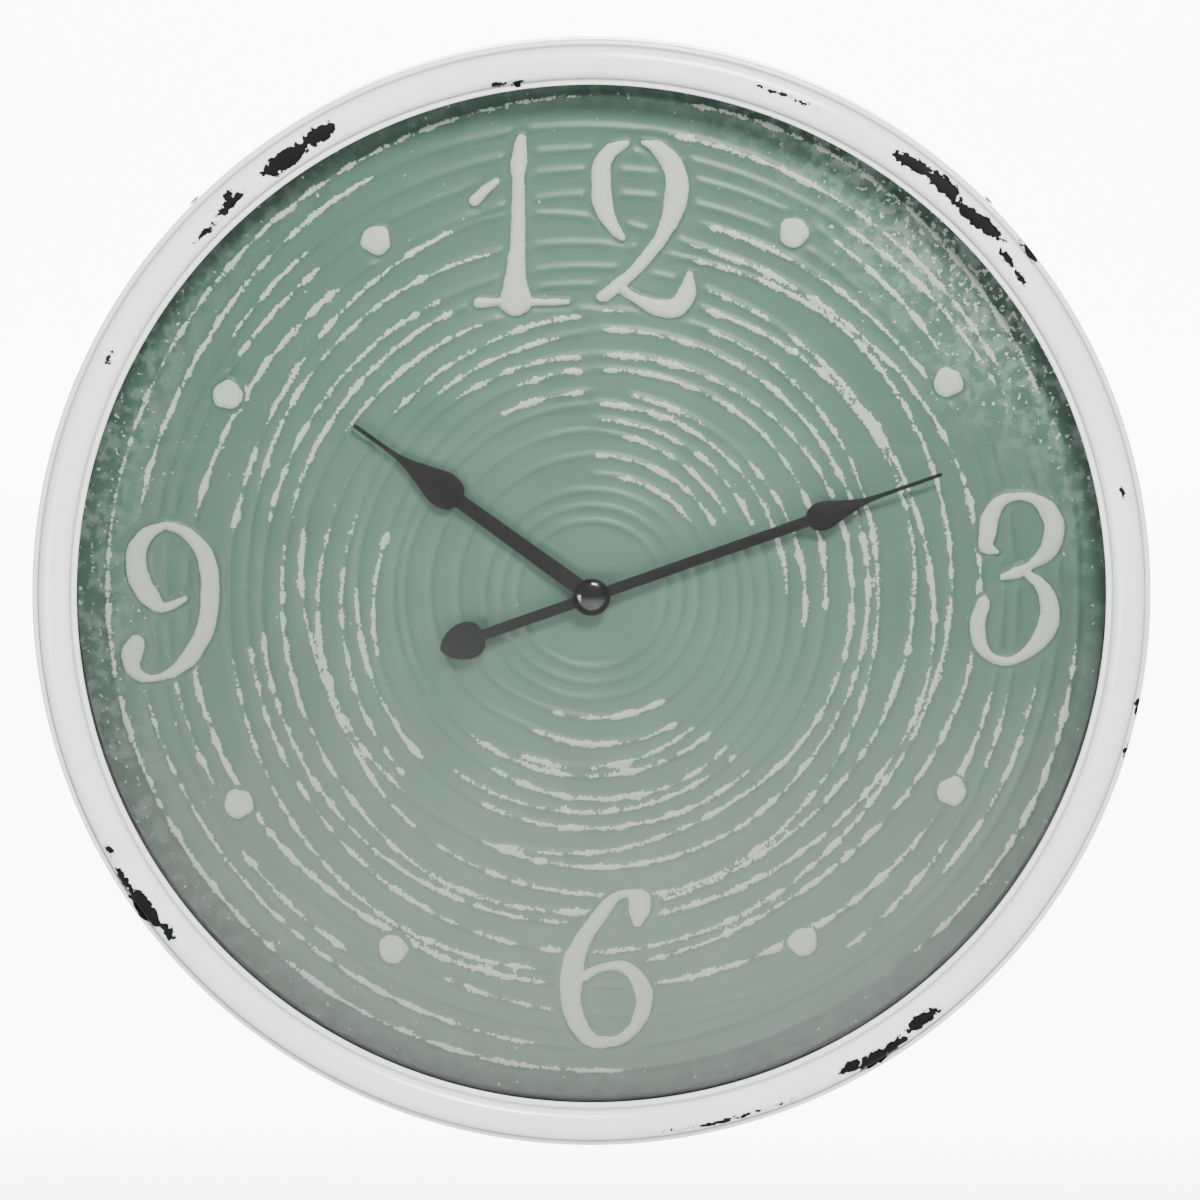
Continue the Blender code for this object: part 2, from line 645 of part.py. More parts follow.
def hanger_centre_height():
    """The hanger's middle in Z, with its outer edge inside the case ring's wall."""
    return math.sqrt((BAND_OUTER - 2.0) ** 2 - (HANGER_WIDTH / 2) ** 2) - HANGER_HEIGHT / 2


def rivet_centres():
    """Where the two rivets pass through the hanger and the rear flange."""
    height = math.sqrt((BAND_OUTER - REAR_FLANGE / 2) ** 2 - (RIVET_SPACING / 2) ** 2)
    return [(-RIVET_SPACING / 2, height), (RIVET_SPACING / 2, height)]


def bumper_centres():
    """Where the two rubber bumpers sit on the rear flange."""
    radius = BAND_OUTER - REAR_FLANGE / 2
    return [on_dial(radius, 270 - BUMPER_ANGLE), on_dial(radius, 270 + BUMPER_ANGLE)]


def keyhole_outline():
    """A keyhole: a round hole for the screw's head, and a narrower slot above it that the clock hangs on."""
    head = hanger_centre_height() - HANGER_HEIGHT / 2 + KEYHOLE_HEAD_RADIUS + 3.0
    side = math.asin(KEYHOLE_SLOT_RADIUS / KEYHOLE_HEAD_RADIUS)
    outline = []
    for step in range(ROUND_STEPS // 2 + 1):
        angle = math.pi / 2 + side + (2 * math.pi - 2 * side) * step / (ROUND_STEPS // 2)
        outline.append((KEYHOLE_HEAD_RADIUS * math.cos(angle), head + KEYHOLE_HEAD_RADIUS * math.sin(angle)))
    for step in range(SMALL_STEPS // 2 + 1):
        angle = math.pi * step / (SMALL_STEPS // 2)
        x = KEYHOLE_SLOT_RADIUS * math.cos(angle)
        outline.append((x, head + KEYHOLE_RISE + KEYHOLE_SLOT_RADIUS * math.sin(angle)))
    return outline


def make_hanger(parts):
    """The keyhole hanger and its rivets."""
    middle = hanger_centre_height()
    half_width = HANGER_WIDTH / 2
    half_height = HANGER_HEIGHT / 2
    corner = 4.0
    plate = [
        (-half_width + corner, middle - half_height), (half_width - corner, middle - half_height),
        (half_width, middle - half_height + corner), (half_width, middle + half_height),
        (-half_width, middle + half_height), (-half_width, middle - half_height + corner),
    ]
    holes = [circle(RIVET_RADIUS + GAP, centre, SMALL_STEPS) for centre in rivet_centres()]
    front = FLANGE_BACK + GAP
    outlines = [plate, keyhole_outline()] + holes
    hanger = flat_sheet("hanger_plate", outlines, HANGER_SHEET, front + HANGER_SHEET / 2)
    material = make_material("galvanised_steel", STEEL, 0.45, 1.0)
    place(hanger, parts, material)
    back = front + HANGER_SHEET + GAP
    profile = [
        (0.0, FLANGE_FRONT - GAP - RIVET_HEAD), (RIVET_HEAD_RADIUS, FLANGE_FRONT - GAP - RIVET_HEAD),
        (RIVET_HEAD_RADIUS, FLANGE_FRONT - GAP), (RIVET_RADIUS, FLANGE_FRONT - GAP),
        (RIVET_RADIUS, back), (RIVET_HEAD_RADIUS, back),
        (RIVET_HEAD_RADIUS * 0.6, back + RIVET_HEAD * 0.85), (0.0, back + RIVET_HEAD * 0.85),
    ]
    rivet_material = make_material("rivet_steel", STEEL, 0.35, 1.0)
    for index, centre in enumerate(rivet_centres()):
        rivet = turned(f"hanger_rivet_{index + 1}", profile, SMALL_STEPS, closed=False, centre=centre)
        shade_round(rivet)
        place(rivet, parts, rivet_material)


def make_bumpers(parts):
    """Rubber bumpers whose stems snap into the rear flange."""
    front = FLANGE_BACK + GAP
    stem = BUMPER_RADIUS / 2 - GAP
    profile = [
        (0.0, FLANGE_FRONT - 1.0), (stem, FLANGE_FRONT - 1.0), (stem, front), (BUMPER_RADIUS, front),
        (BUMPER_RADIUS, WALL - 1.0), (BUMPER_RADIUS - 1.0, WALL), (0.0, WALL),
    ]
    material = make_material("bumper_rubber", BLACK_PLASTIC, 0.85, 0.0)
    for index, centre in enumerate(bumper_centres()):
        bumper = turned(f"wall_bumper_{index + 1}", profile, ROUND_STEPS, closed=False, centre=centre)
        shade_round(bumper)
        place(bumper, parts, material)


# ---------------------------------------------------------------- hands

def spade(start, widest, end, bar, width, tip):
    """One side of a spade-shaped blade, as (half width, distance): bar, shoulder, belly and a drawn-out tip."""
    reach = widest - start
    outline = [(bar / 2, start - 0.25 * reach)]
    for step in range(6):
        turn = math.pi * step / 5
        share = (1 - math.cos(turn)) / 2
        outline.append((bar / 2 + (width - bar) / 2 * share, start + reach * step / 5))
    for step in range(1, 8):
        share = step / 7
        narrowing = (1 - share) ** 2.2
        outline.append((tip / 2 + (width - tip) / 2 * narrowing, widest + (end - widest) * share * 0.72))
    outline.append((tip / 2, end - tip))
    outline.append((0.0, end))
    return outline


def tail_leaf(start, end, bar, width):
    """One side of the leaf on the minute hand's tail, as (half width, distance)."""
    outline = []
    for step in range(8):
        share = step / 8
        bulge = math.sin(math.pi * share ** 0.8) ** 0.8 if step else 0.0
        outline.append((bar / 2 * (1 - share) + width / 2 * bulge, start + (end - start) * share))
    outline.append((0.0, end))
    return outline


def both_sides(side):
    """The whole outline of a shape that is the same on both sides, from its right side."""
    return side + [(-x, z) for x, z in reversed(side) if x > 0]


def boss(radius, bar, steps=10):
    """The right side of the round boss at a hand's centre, between the bars above and below it."""
    lean = math.asin(min(0.95, bar / 2 / radius))
    outline = []
    for step in range(steps + 1):
        angle = -math.pi / 2 + lean + (math.pi - 2 * lean) * step / steps
        outline.append((radius * math.cos(angle), radius * math.sin(angle)))
    return outline


def make_hands(parts):
    """The two hands and the cap over their centre."""
    blade = spade(
        MINUTE_LENGTH * MINUTE_SHOULDER, MINUTE_LENGTH * MINUTE_WIDEST, MINUTE_LENGTH,
        MINUTE_BAR, MINUTE_BLADE, MINUTE_TIP,
    )
    leaf = tail_leaf(MINUTE_TAIL * TAIL_SHOULDER, MINUTE_TAIL, MINUTE_BAR, TAIL_BLADE)
    tail = [(x, -z) for x, z in reversed(leaf)]
    outline = both_sides(tail + boss(MINUTE_BOSS, MINUTE_BAR) + blade)
    bore = circle(ARBOR_RADIUS + GAP, steps=SMALL_STEPS)
    minute_hand = flat_sheet("minute_hand", [outline, bore], HAND_SHEET, MINUTE_HAND_FRONT + HAND_SHEET / 2)
    minute_hand.data.transform(Matrix.Rotation(math.radians(MINUTE_ANGLE), 4, "Y"))
    material = make_material("charcoal_paint", CHARCOAL, 0.5, 0.0)
    place(minute_hand, parts, material)
    hour_blade = spade(
        HOUR_LENGTH * HOUR_SHOULDER, HOUR_LENGTH * HOUR_WIDEST, HOUR_LENGTH,
        HOUR_BAR, HOUR_BLADE, HOUR_TIP,
    )
    hour_outline = both_sides([(0.0, -HOUR_BOSS)] + boss(HOUR_BOSS, HOUR_BAR)[3:] + hour_blade)
    bore = circle(PIPE_OUTER + GAP, steps=SMALL_STEPS)
    hour_hand = flat_sheet("hour_hand", [hour_outline, bore], HAND_SHEET, HOUR_HAND_FRONT + HAND_SHEET / 2)
    hour_hand.data.transform(Matrix.Rotation(math.radians(HOUR_ANGLE), 4, "Y"))
    place(hour_hand, parts, make_material("hour_hand_paint", CHARCOAL, 0.5, 0.0))
    skirt = HUB_CAP_BACK - HUB_CAP_SKIRT
    profile = [(0.0, skirt - HUB_CAP_HEIGHT)]
    for step in range(1, 6):
        angle = math.pi / 2 * step / 5
        rise = HUB_CAP_HEIGHT * math.cos(angle)
        profile.append((HUB_CAP_RADIUS * math.sin(angle), skirt - rise))
    profile += [(HUB_CAP_RADIUS, HUB_CAP_BACK), (ARBOR_RADIUS + GAP, HUB_CAP_BACK)]
    profile += [(ARBOR_RADIUS + GAP, HUB_CAP_BACK - HUB_CAP_SOCKET), (0.0, HUB_CAP_BACK - HUB_CAP_SOCKET)]
    cap = turned("hub_cap", profile, ROUND_STEPS, closed=False)
    shade_round(cap)
    place(cap, parts, make_material("cap_enamel", BLACK_ENAMEL, 0.25, 0.0))


# ---------------------------------------------------------------- movement

def make_bush(parts):
    """The threaded bush through the dial, its nut and its washers."""
    ring = [
        (BUSH_OUTER, BUSH_FRONT), (BUSH_OUTER, COVER_FRONT - GAP),
        (BUSH_BORE, COVER_FRONT - GAP), (BUSH_BORE, BUSH_FRONT),
    ]
    bush = turned("threaded_bush", ring, ROUND_STEPS, closed=True)
    shade_round(bush)
    brass = make_material("turned_brass", BRASS, 0.3, 1.0)
    place(bush, parts, brass)
    bore = circle(BUSH_OUTER + GAP)
    hexagon = circle(BUSH_OUTER + NUT_MARGIN, steps=6)
    nut = flat_sheet("hex_nut", [hexagon, bore], NUT_HEIGHT, NUT_FRONT + NUT_HEIGHT / 2)
    place(nut, parts, make_material("nut_brass", BRASS, 0.35, 1.0))
    outline = circle(BUSH_OUTER + WASHER_MARGIN)
    middle = WASHER_FRONT + WASHER_THICKNESS / 2
    washer = flat_sheet("brass_washer", [outline, bore], WASHER_THICKNESS, middle)
    place(washer, parts, make_material("washer_brass", BRASS, 0.35, 1.0))
    outline = circle(BUSH_OUTER + RUBBER_MARGIN)
    middle = RUBBER_FRONT + RUBBER_THICKNESS / 2
    rubber = flat_sheet("rubber_washer", [outline, bore], RUBBER_THICKNESS, middle)
    place(rubber, parts, make_material("washer_rubber", BLACK_PLASTIC, 0.85, 0.0))


def post_centres():
    """The two corners at the top of the movement, where its screws go."""
    reach = CORNER_POST / 2 - 0.6
    return [(side * (HALF_WIDTH - reach), MOVEMENT_TOP - reach) for side in (-1, 1)]


def pocket_outline(half, bottom, top):
    """The wheel compartment, with its two upper corners cut off to leave posts for the screws."""
    post = CORNER_POST
    return [
        (-half, bottom), (half, bottom), (half, top - post),
        (half - post, top), (post - half, top), (-half, top - post),
    ]


def make_housing(parts, cutters):
    """The moulded housing: a compartment for the wheels, open at the front, and a through bay for the cell."""
    low = (-HALF_WIDTH, HOUSING_FRONT, MOVEMENT_BOTTOM)
    housing = block("movement_housing", low, (HALF_WIDTH, HOUSING_BACK, MOVEMENT_TOP))
    top = MOVEMENT_TOP - MOVEMENT_WALL
    plate_room = pocket_outline(POCKET_HALF, POCKET_BOTTOM, top)
    wheel_room = pocket_outline(POCKET_HALF - PLATE_LEDGE, POCKET_BOTTOM + PLATE_LEDGE, top - PLATE_LEDGE)
    start = HOUSING_FRONT - CUT_REACH
    ledge = TRAIN_PLATE_BACK + GAP
    front = flat_sheet("plate_room", [plate_room], ledge - start, (start + ledge) / 2)
    rear = flat_sheet("wheel_room", [wheel_room], POCKET_BACK - start, (start + POCKET_BACK) / 2)
    high = (POCKET_HALF, HOUSING_BACK + CUT_REACH, BAY_TOP)
    bay = block("battery_bay", (-POCKET_HALF, start, BAY_BOTTOM), high)
    holes = [front, rear, bay]
    holes.append(rod("stem_hole", PIVOT_RADIUS + 2 * GAP, POCKET_BACK - 1, HOUSING_BACK + 1, SET_CENTRE))
    bearings = ((0.0, 0.0), THIRD_CENTRE, INTERMEDIATE_CENTRE, ROTOR_CENTRE)
    for index, centre in enumerate(bearings):
        blind = POCKET_BACK + COVER_THICKNESS / 2
        holes.append(rod(f"bearing_{index}", PIVOT_RADIUS + GAP, POCKET_BACK - 1, blind, centre))
    end = HOUSING_FRONT + SMALL_SCREW_REACH + GAP
    for index, centre in enumerate(post_centres()):
        holes.append(rod(f"post_hole_{index}", SMALL_SCREW_RADIUS + GAP, start, end, centre))
    combine(housing, holes, cutters, "DIFFERENCE")
    return place(housing, parts, make_material("black_abs", BLACK_PLASTIC, 0.55, 0.0))


def make_cover(parts):
    """The front cover of the movement, and the two screws that hold it."""
    outline = [
        (-HALF_WIDTH, MOVEMENT_BOTTOM), (HALF_WIDTH, MOVEMENT_BOTTOM),
        (HALF_WIDTH, MOVEMENT_TOP), (-HALF_WIDTH, MOVEMENT_TOP),
    ]
    holes = [circle(PIPE_OUTER + GAP, steps=ROUND_STEPS)]
    for centre in (MOTION_CENTRE, SET_CENTRE, THIRD_CENTRE):
        holes.append(circle(PIVOT_RADIUS + GAP, centre, SMALL_STEPS))
    for centre in post_centres():
        holes.append(circle(SMALL_SCREW_RADIUS + GAP, centre, SMALL_STEPS))
    middle = COVER_FRONT + COVER_THICKNESS / 2
    cover = flat_sheet("movement_cover", [outline] + holes, COVER_THICKNESS, middle)
    place(cover, parts, make_material("cover_abs", BLACK_PLASTIC, 0.5, 0.0))
    head = 2 * SMALL_SCREW_RADIUS
    seat = COVER_FRONT - GAP
    profile = [
        (0.0, seat - 0.8), (head, seat - 0.8), (head, seat), (SMALL_SCREW_RADIUS, seat),
        (SMALL_SCREW_RADIUS, HOUSING_FRONT + SMALL_SCREW_REACH), (0.0, HOUSING_FRONT + SMALL_SCREW_REACH),
    ]
    material = make_material("small_screw_steel", STEEL, 0.3, 1.0)
    for index, centre in enumerate(post_centres()):
        screw = turned(f"movement_screw_{index + 1}", profile, SMALL_STEPS, closed=False, centre=centre)
        place(screw, parts, material)


def make_train_plate(parts):
    """The plate between the motion work and the going train, on the housing's ledge."""
    half = POCKET_HALF - GAP
    outline = pocket_outline(half, POCKET_BOTTOM + GAP, MOVEMENT_TOP - MOVEMENT_WALL - GAP)
    pinion_room = THIRD_MODULE * PINION_TEETH / 2 + THIRD_MODULE + GAP
    holes = [circle(ARBOR_RADIUS + GAP, steps=SMALL_STEPS), circle(pinion_room, THIRD_CENTRE, SMALL_STEPS)]
    for centre in (MOTION_CENTRE, SET_CENTRE, INTERMEDIATE_CENTRE, ROTOR_CENTRE):
        holes.append(circle(PIVOT_RADIUS + GAP, centre, SMALL_STEPS))
    middle = TRAIN_PLATE_FRONT + TRAIN_PLATE / 2
    plate = flat_sheet("train_plate", [outline] + holes, TRAIN_PLATE, middle)
    place(plate, parts, make_material("plate_acetal", ACETAL, 0.5, 0.0))


def make_minute_arbor(parts, cutters):
    """The minute arbor with its cannon pinion. Its rear end holds the seconds wheel's front pivot."""
    front = HUB_CAP_BACK - HUB_CAP_SOCKET + GAP
    bore = PIVOT_RADIUS + GAP
    profile = [
        (0.0, front), (ARBOR_RADIUS - 0.2, front), (ARBOR_RADIUS, front + 0.2),
        (ARBOR_RADIUS, TRAIN_PLATE_BACK), (bore, TRAIN_PLATE_BACK),
        (bore, TRAIN_PLATE_BACK - ARBOR_BORE), (0.0, TRAIN_PLATE_BACK - ARBOR_BORE),
    ]
    arbor = turned("minute_arbor", profile, SMALL_STEPS, closed=False)
    pinion = wheel_disc(
        "cannon_teeth", CANNON_TEETH, MOTION_MODULE, CANNON_PHASE, (0, 0), MOTION_FRONT, WHEEL_THICKNESS,
    )
    combine(arbor, [pinion], cutters, "UNION")
    place(arbor, parts, make_material("arbor_steel", STEEL, 0.3, 1.0))


def make_hour_wheel(parts, cutters):
    """The hour wheel and the pipe that carries the hour hand."""
    bore = PIPE_BORE
    section = [
        (PIPE_OUTER, HOUR_HAND_FRONT - 0.6), (PIPE_OUTER, HOUR_WHEEL_FRONT + WHEEL_THICKNESS / 2),
        (bore, HOUR_WHEEL_FRONT + WHEEL_THICKNESS / 2), (bore, HOUR_HAND_FRONT - 0.6),
    ]
    pipe = turned("hour_wheel", section, SMALL_STEPS, closed=True)
    inner = (PIPE_BORE + PIPE_OUTER) / 2
    disc = wheel_disc(
        "hour_teeth", HOUR_TEETH, HOUR_MODULE, HOUR_PHASE, (0, 0), HOUR_WHEEL_FRONT, WHEEL_THICKNESS, bore=inner,
    )
    combine(pipe, [disc], cutters, "UNION")
    place(pipe, parts, make_material("hour_wheel_acetal", ACETAL, 0.45, 0.0))


def make_motion_wheel(parts, cutters):
    """The motion wheel, between the cannon pinion and the hour wheel."""
    bearing = (COVER_FRONT + 0.3, TRAIN_PLATE_BACK - 0.2)
    wheel = rod("motion_wheel", PIVOT_RADIUS, *bearing, MOTION_CENTRE)
    disc = wheel_disc(
        "motion_teeth", MOTION_TEETH, MOTION_MODULE, MOTION_PHASE, MOTION_CENTRE, MOTION_FRONT, WHEEL_THICKNESS,
    )
    length = MOTION_FRONT - HOUR_WHEEL_FRONT + WHEEL_THICKNESS / 2
    pinion = wheel_disc(
        "motion_pinion", MOTION_PINION_TEETH, HOUR_MODULE, MOTION_PINION_PHASE,
        MOTION_CENTRE, HOUR_WHEEL_FRONT, length,
    )
    combine(wheel, [disc, pinion], cutters, "UNION")
    place(wheel, parts, make_material("motion_wheel_acetal", ACETAL, 0.45, 0.0))


def make_set_stem(parts, cutters):
    """The hand-setting stem: a pinion on the motion wheel and a ribbed knob behind the housing."""
    knob_front = HOUSING_BACK + GAP
    stem = rod("set_stem", PIVOT_RADIUS + GAP / 2, COVER_BACK + GAP, knob_front + KNOB_HEIGHT / 2, SET_CENTRE)
    tip = rod("set_stem_tip", PIVOT_RADIUS, COVER_FRONT + 0.3, COVER_BACK + 1.0, SET_CENTRE)
    pinion = wheel_disc(
        "set_teeth", SET_TEETH, MOTION_MODULE, SET_PHASE, SET_CENTRE, MOTION_FRONT, WHEEL_THICKNESS,
    )
    ribs = []
    for index in range(2 * KNOB_RIDGES):
        angle = math.pi * index / KNOB_RIDGES
        radius = KNOB_RADIUS - 0.35 * (index % 2)
        ribs.append((SET_CENTRE[0] + radius * math.cos(angle), SET_CENTRE[1] + radius * math.sin(angle)))
    knob = flat_sheet("set_knob", [ribs], KNOB_HEIGHT, knob_front + KNOB_HEIGHT / 2)
    combine(stem, [tip, pinion, knob], cutters, "UNION")
    place(stem, parts, make_material("knob_acetal", ACETAL, 0.4, 0.0))


def make_train_wheel(parts, cutters, name, centre, discs, arbor):
    """One wheel of the going train: an arbor with its toothed discs, each (teeth, module, phase, front, length)."""
    wheel = rod(name, PIVOT_RADIUS, arbor[0], arbor[1], centre)
    others = []
    for index, (teeth, module, phase, front, length) in enumerate(discs):
        others.append(wheel_disc(f"{name}_teeth_{index}", teeth, module, phase, centre, front, length))
    combine(wheel, others, cutters, "UNION")
    place(wheel, parts, make_material(name + "_acetal", ACETAL, 0.45, 0.0))
    return wheel


def make_going_train(parts, cutters):
    """Centre, third, seconds and intermediate wheels, and the rotor that drives them."""
    centre_wheel = wheel_disc(
        "centre_wheel", CENTRE_TEETH, TRAIN_MODULE, CENTRE_PHASE, (0, 0),
        CENTRE_FRONT, THIN_WHEEL, ARBOR_RADIUS + GAP,
    )
    place(centre_wheel, parts, make_material("centre_wheel_brass", BRASS, 0.35, 1.0))
    step = THIN_WHEEL + GAP
    pinion = PINION_TEETH
    end = POCKET_BACK + 0.3
    through_plate = THIRD_FRONT - CENTRE_FRONT + THIN_WHEEL / 2
    make_train_wheel(
        parts, cutters, "third_wheel", THIRD_CENTRE,
        [
            (pinion, TRAIN_MODULE, 0.0, CENTRE_FRONT, through_plate),
            (THIRD_TEETH, THIRD_MODULE, THIRD_PHASE, THIRD_FRONT, THIN_WHEEL),
        ],
        (COVER_FRONT + 0.3, end),
    )
    phase = meshing_phase(THIRD_TEETH, THIRD_PHASE, pinion, THIRD_DIRECTION + 180)
    make_train_wheel(
        parts, cutters, "seconds_wheel", (0.0, 0.0),
        [
            (pinion, THIRD_MODULE, phase, THIRD_FRONT, step + 0.4),
            (SECONDS_TEETH, TRAIN_MODULE, SECONDS_PHASE, SECONDS_FRONT, THIN_WHEEL),
        ],
        (TRAIN_PLATE_BACK - 1.2, end),
    )
    make_train_wheel(
        parts, cutters, "intermediate_wheel", INTERMEDIATE_CENTRE,
        [
            (pinion, TRAIN_MODULE, 0.0, SECONDS_FRONT, step + 0.4),
            (INTERMEDIATE_TEETH, TRAIN_MODULE, INTERMEDIATE_PHASE, INTERMEDIATE_FRONT, THIN_WHEEL),
        ],
        (TRAIN_PLATE_FRONT + 0.2, end),
    )
    rotor = rod("rotor", PIVOT_RADIUS, TRAIN_PLATE_FRONT + 0.2, end, ROTOR_CENTRE)
    teeth = wheel_disc(
        "rotor_teeth", pinion, TRAIN_MODULE, ROTOR_PHASE, ROTOR_CENTRE, INTERMEDIATE_FRONT, step + 0.4,
    )
    end = MAGNET_FRONT + MAGNET_HEIGHT
    magnet = rod("rotor_magnet", MAGNET_RADIUS, MAGNET_FRONT, end, ROTOR_CENTRE, ROUND_STEPS)
    combine(rotor, [teeth, magnet], cutters, "UNION")
    place(rotor, parts, make_material("rotor_ferrite", (0.08, 0.08, 0.085), 0.4, 0.6))


def make_motor(parts, cutters):
    """The stator round the rotor's magnet, and the coil on its core."""
    x, z = ROTOR_CENTRE
    reach = MAGNET_RADIUS + STATOR_RING
    inner = INTERMEDIATE_CENTRE[0] + PIVOT_RADIUS + 2 * GAP
    right = x + reach
    top = MOVEMENT_TOP - MOVEMENT_WALL - PLATE_LEDGE - GAP - CORNER_POST / 2 + CORE_RISE
    bar = STATOR_BAR
    arm = THIRD_CENTRE[1] + PIVOT_RADIUS + STATOR_ARM_RISE
    left = -CORNER_POST * 2
    outline = [
        (inner, z - reach), (right, z - reach), (right, top), (right - bar, top), (right - bar, z + reach),
        (inner + bar, z + reach), (inner + bar, arm + bar), (left + bar, arm + bar),
        (left + bar, top), (left, top), (left, arm), (inner, arm),
    ]
    hole = circle(MAGNET_RADIUS + GAP, ROTOR_CENTRE)
    stator = flat_sheet("stator", [outline, hole], STATOR_THICKNESS, STATOR_FRONT + STATOR_THICKNESS / 2)
    place(stator, parts, make_material("stator_iron", STEEL, 0.4, 1.0))
    core = block("coil_core", (left, CORE_BACK - CORE_THICKNESS, top - CORE_WIDTH), (right, CORE_BACK, top))
    place(core, parts, make_material("core_iron", STEEL, 0.4, 1.0))
    length = right - left - 2 * bar - 2 * GAP
    radius = COIL_RADIUS * MM
    made = bmesh.new()
    bmesh.ops.create_cone(
        made, cap_ends=True, segments=ROUND_STEPS, radius1=radius, radius2=radius, depth=length * MM,
    )
    mesh = bpy.data.meshes.new("coil_winding")
    made.to_mesh(mesh)
    made.free()
    centre = Vector(((left + right) / 2, COIL_DEPTH, top - CORE_WIDTH / 2)) * MM
    mesh.transform(Matrix.Translation(centre) @ Matrix.Rotation(math.radians(90), 4, "Y"))
    winding = bpy.data.objects.new("coil_winding", mesh)
    slot = block(
        "coil_slot",
        (left, CORE_BACK - CORE_THICKNESS - GAP, top - CORE_WIDTH - GAP),
        (right, CORE_BACK + GAP, top + GAP),
    )
    combine(winding, [slot], cutters, "DIFFERENCE")
    shade_round(winding)
    place(winding, parts, make_material("enamelled_copper", COPPER, 0.35, 1.0))


def make_circuit(parts):
    """The circuit board with its timing chip and quartz crystal."""
    right = -CORNER_POST * 2 - BOARD_COIL_SPACE
    left = -(POCKET_HALF - PLATE_LEDGE) + BOARD_WALL_SPACE
    bottom = SET_CENTRE[1] + MOTION_MODULE * SET_TEETH / 2 + BOARD_STEM_SPACE
    top = MOVEMENT_TOP - MOVEMENT_WALL - PLATE_LEDGE - CORNER_POST
    front = TRAIN_PLATE_BACK + GAP
    back = front + BOARD_THICKNESS
    board = block("circuit_board", (left, front, bottom), (right, back, top))
    place(board, parts, make_material("glass_epoxy", (0.03, 0.16, 0.07), 0.5, 0.0))
    middle = (left + right) / 2
    seat = back + GAP
    chip = rod("timing_chip", CHIP_RADIUS, seat, seat + CHIP_HEIGHT, (middle, bottom + CHIP_RISE), SMALL_STEPS)
    place(chip, parts, make_material("epoxy_blob", BLACK_PLASTIC, 0.3, 0.0))
    radius = CRYSTAL_RADIUS * MM
    depth = CRYSTAL_LENGTH * MM
    made = bmesh.new()
    bmesh.ops.create_cone(
        made, cap_ends=True, segments=SMALL_STEPS, radius1=radius, radius2=radius, depth=depth,
    )
    mesh = bpy.data.meshes.new("crystal_can")
    made.to_mesh(mesh)
    made.free()
    place_at = Vector((middle, seat + CRYSTAL_RADIUS, top - CRYSTAL_DROP)) * MM
    mesh.transform(Matrix.Translation(place_at) @ Matrix.Rotation(math.radians(90), 4, "Y"))
    crystal = bpy.data.objects.new("crystal_can", mesh)
    shade_round(crystal)
    place(crystal, parts, make_material("crystal_tin", STEEL, 0.25, 1.0))


def make_battery(parts):
    """The cell across the bottom of the movement, and the two contacts at its ends."""
    radius = BATTERY_DIAMETER / 2 - GAP
    half = BATTERY_LENGTH / 2
    profile = [
        (0.0, -half - BATTERY_NUB), (NUB_RADIUS, -half - BATTERY_NUB), (NUB_RADIUS, -half),
        (radius - 0.6, -half), (radius, -half + 0.6), (radius, half - 0.4), (radius - 0.4, half), (0.0, half),
    ]
    cell = turned("battery_cell", profile, ROUND_STEPS, closed=False)
    turn = Matrix.Rotation(math.radians(90), 4, "Z")
    centre = Vector((-BATTERY_NUB / 2, BATTERY_DEPTH, BATTERY_HEIGHT)) * MM
    cell.data.transform(Matrix.Translation(centre) @ turn)
    shade_round(cell)
    place(cell, parts, make_material("cell_jacket", (0.05, 0.05, 0.06), 0.3, 0.5))
    room = BATTERY_DIAMETER / 2 - CONTACT_MARGIN
    contact = make_material("nickel_plate", STEEL, 0.25, 1.0)
    for name, side in (("positive_contact", 1), ("negative_contact", -1)):
        outer = side * (POCKET_HALF - GAP)
        inner = outer - side * CONTACT_SHEET
        low = (min(outer, inner), BATTERY_DEPTH - room, BATTERY_HEIGHT - room)
        high = (max(outer, inner), BATTERY_DEPTH + room, BATTERY_HEIGHT + room)
        place(block(name, low, high), parts, contact)


def main():
    """Builds the clock."""
    clear_scene()
    parts = make_collection("wall_clock")
    cutters = make_collection("cutters")
    cutters.hide_render = True
    make_bezel(parts, cutters)
    make_case_ring(parts, cutters)
    make_case_screws(parts)
    make_glass(parts)
    make_dial(parts)
    make_hanger(parts)
    make_bumpers(parts)
    make_hands(parts)
    make_bush(parts)
    make_housing(parts, cutters)
    make_cover(parts)
    make_train_plate(parts)
    make_minute_arbor(parts, cutters)
    make_hour_wheel(parts, cutters)
    make_motion_wheel(parts, cutters)
    make_set_stem(parts, cutters)
    make_going_train(parts, cutters)
    make_motor(parts, cutters)
    make_circuit(parts)
    make_battery(parts)


main()
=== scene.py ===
"""The looks of a large enamelled wall clock with an embossed dial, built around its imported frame."""

import json
import logging
import math
from dataclasses import dataclass
from enum import Enum

import bmesh
import bpy
import numpy as np
from mathutils import Matrix, Vector


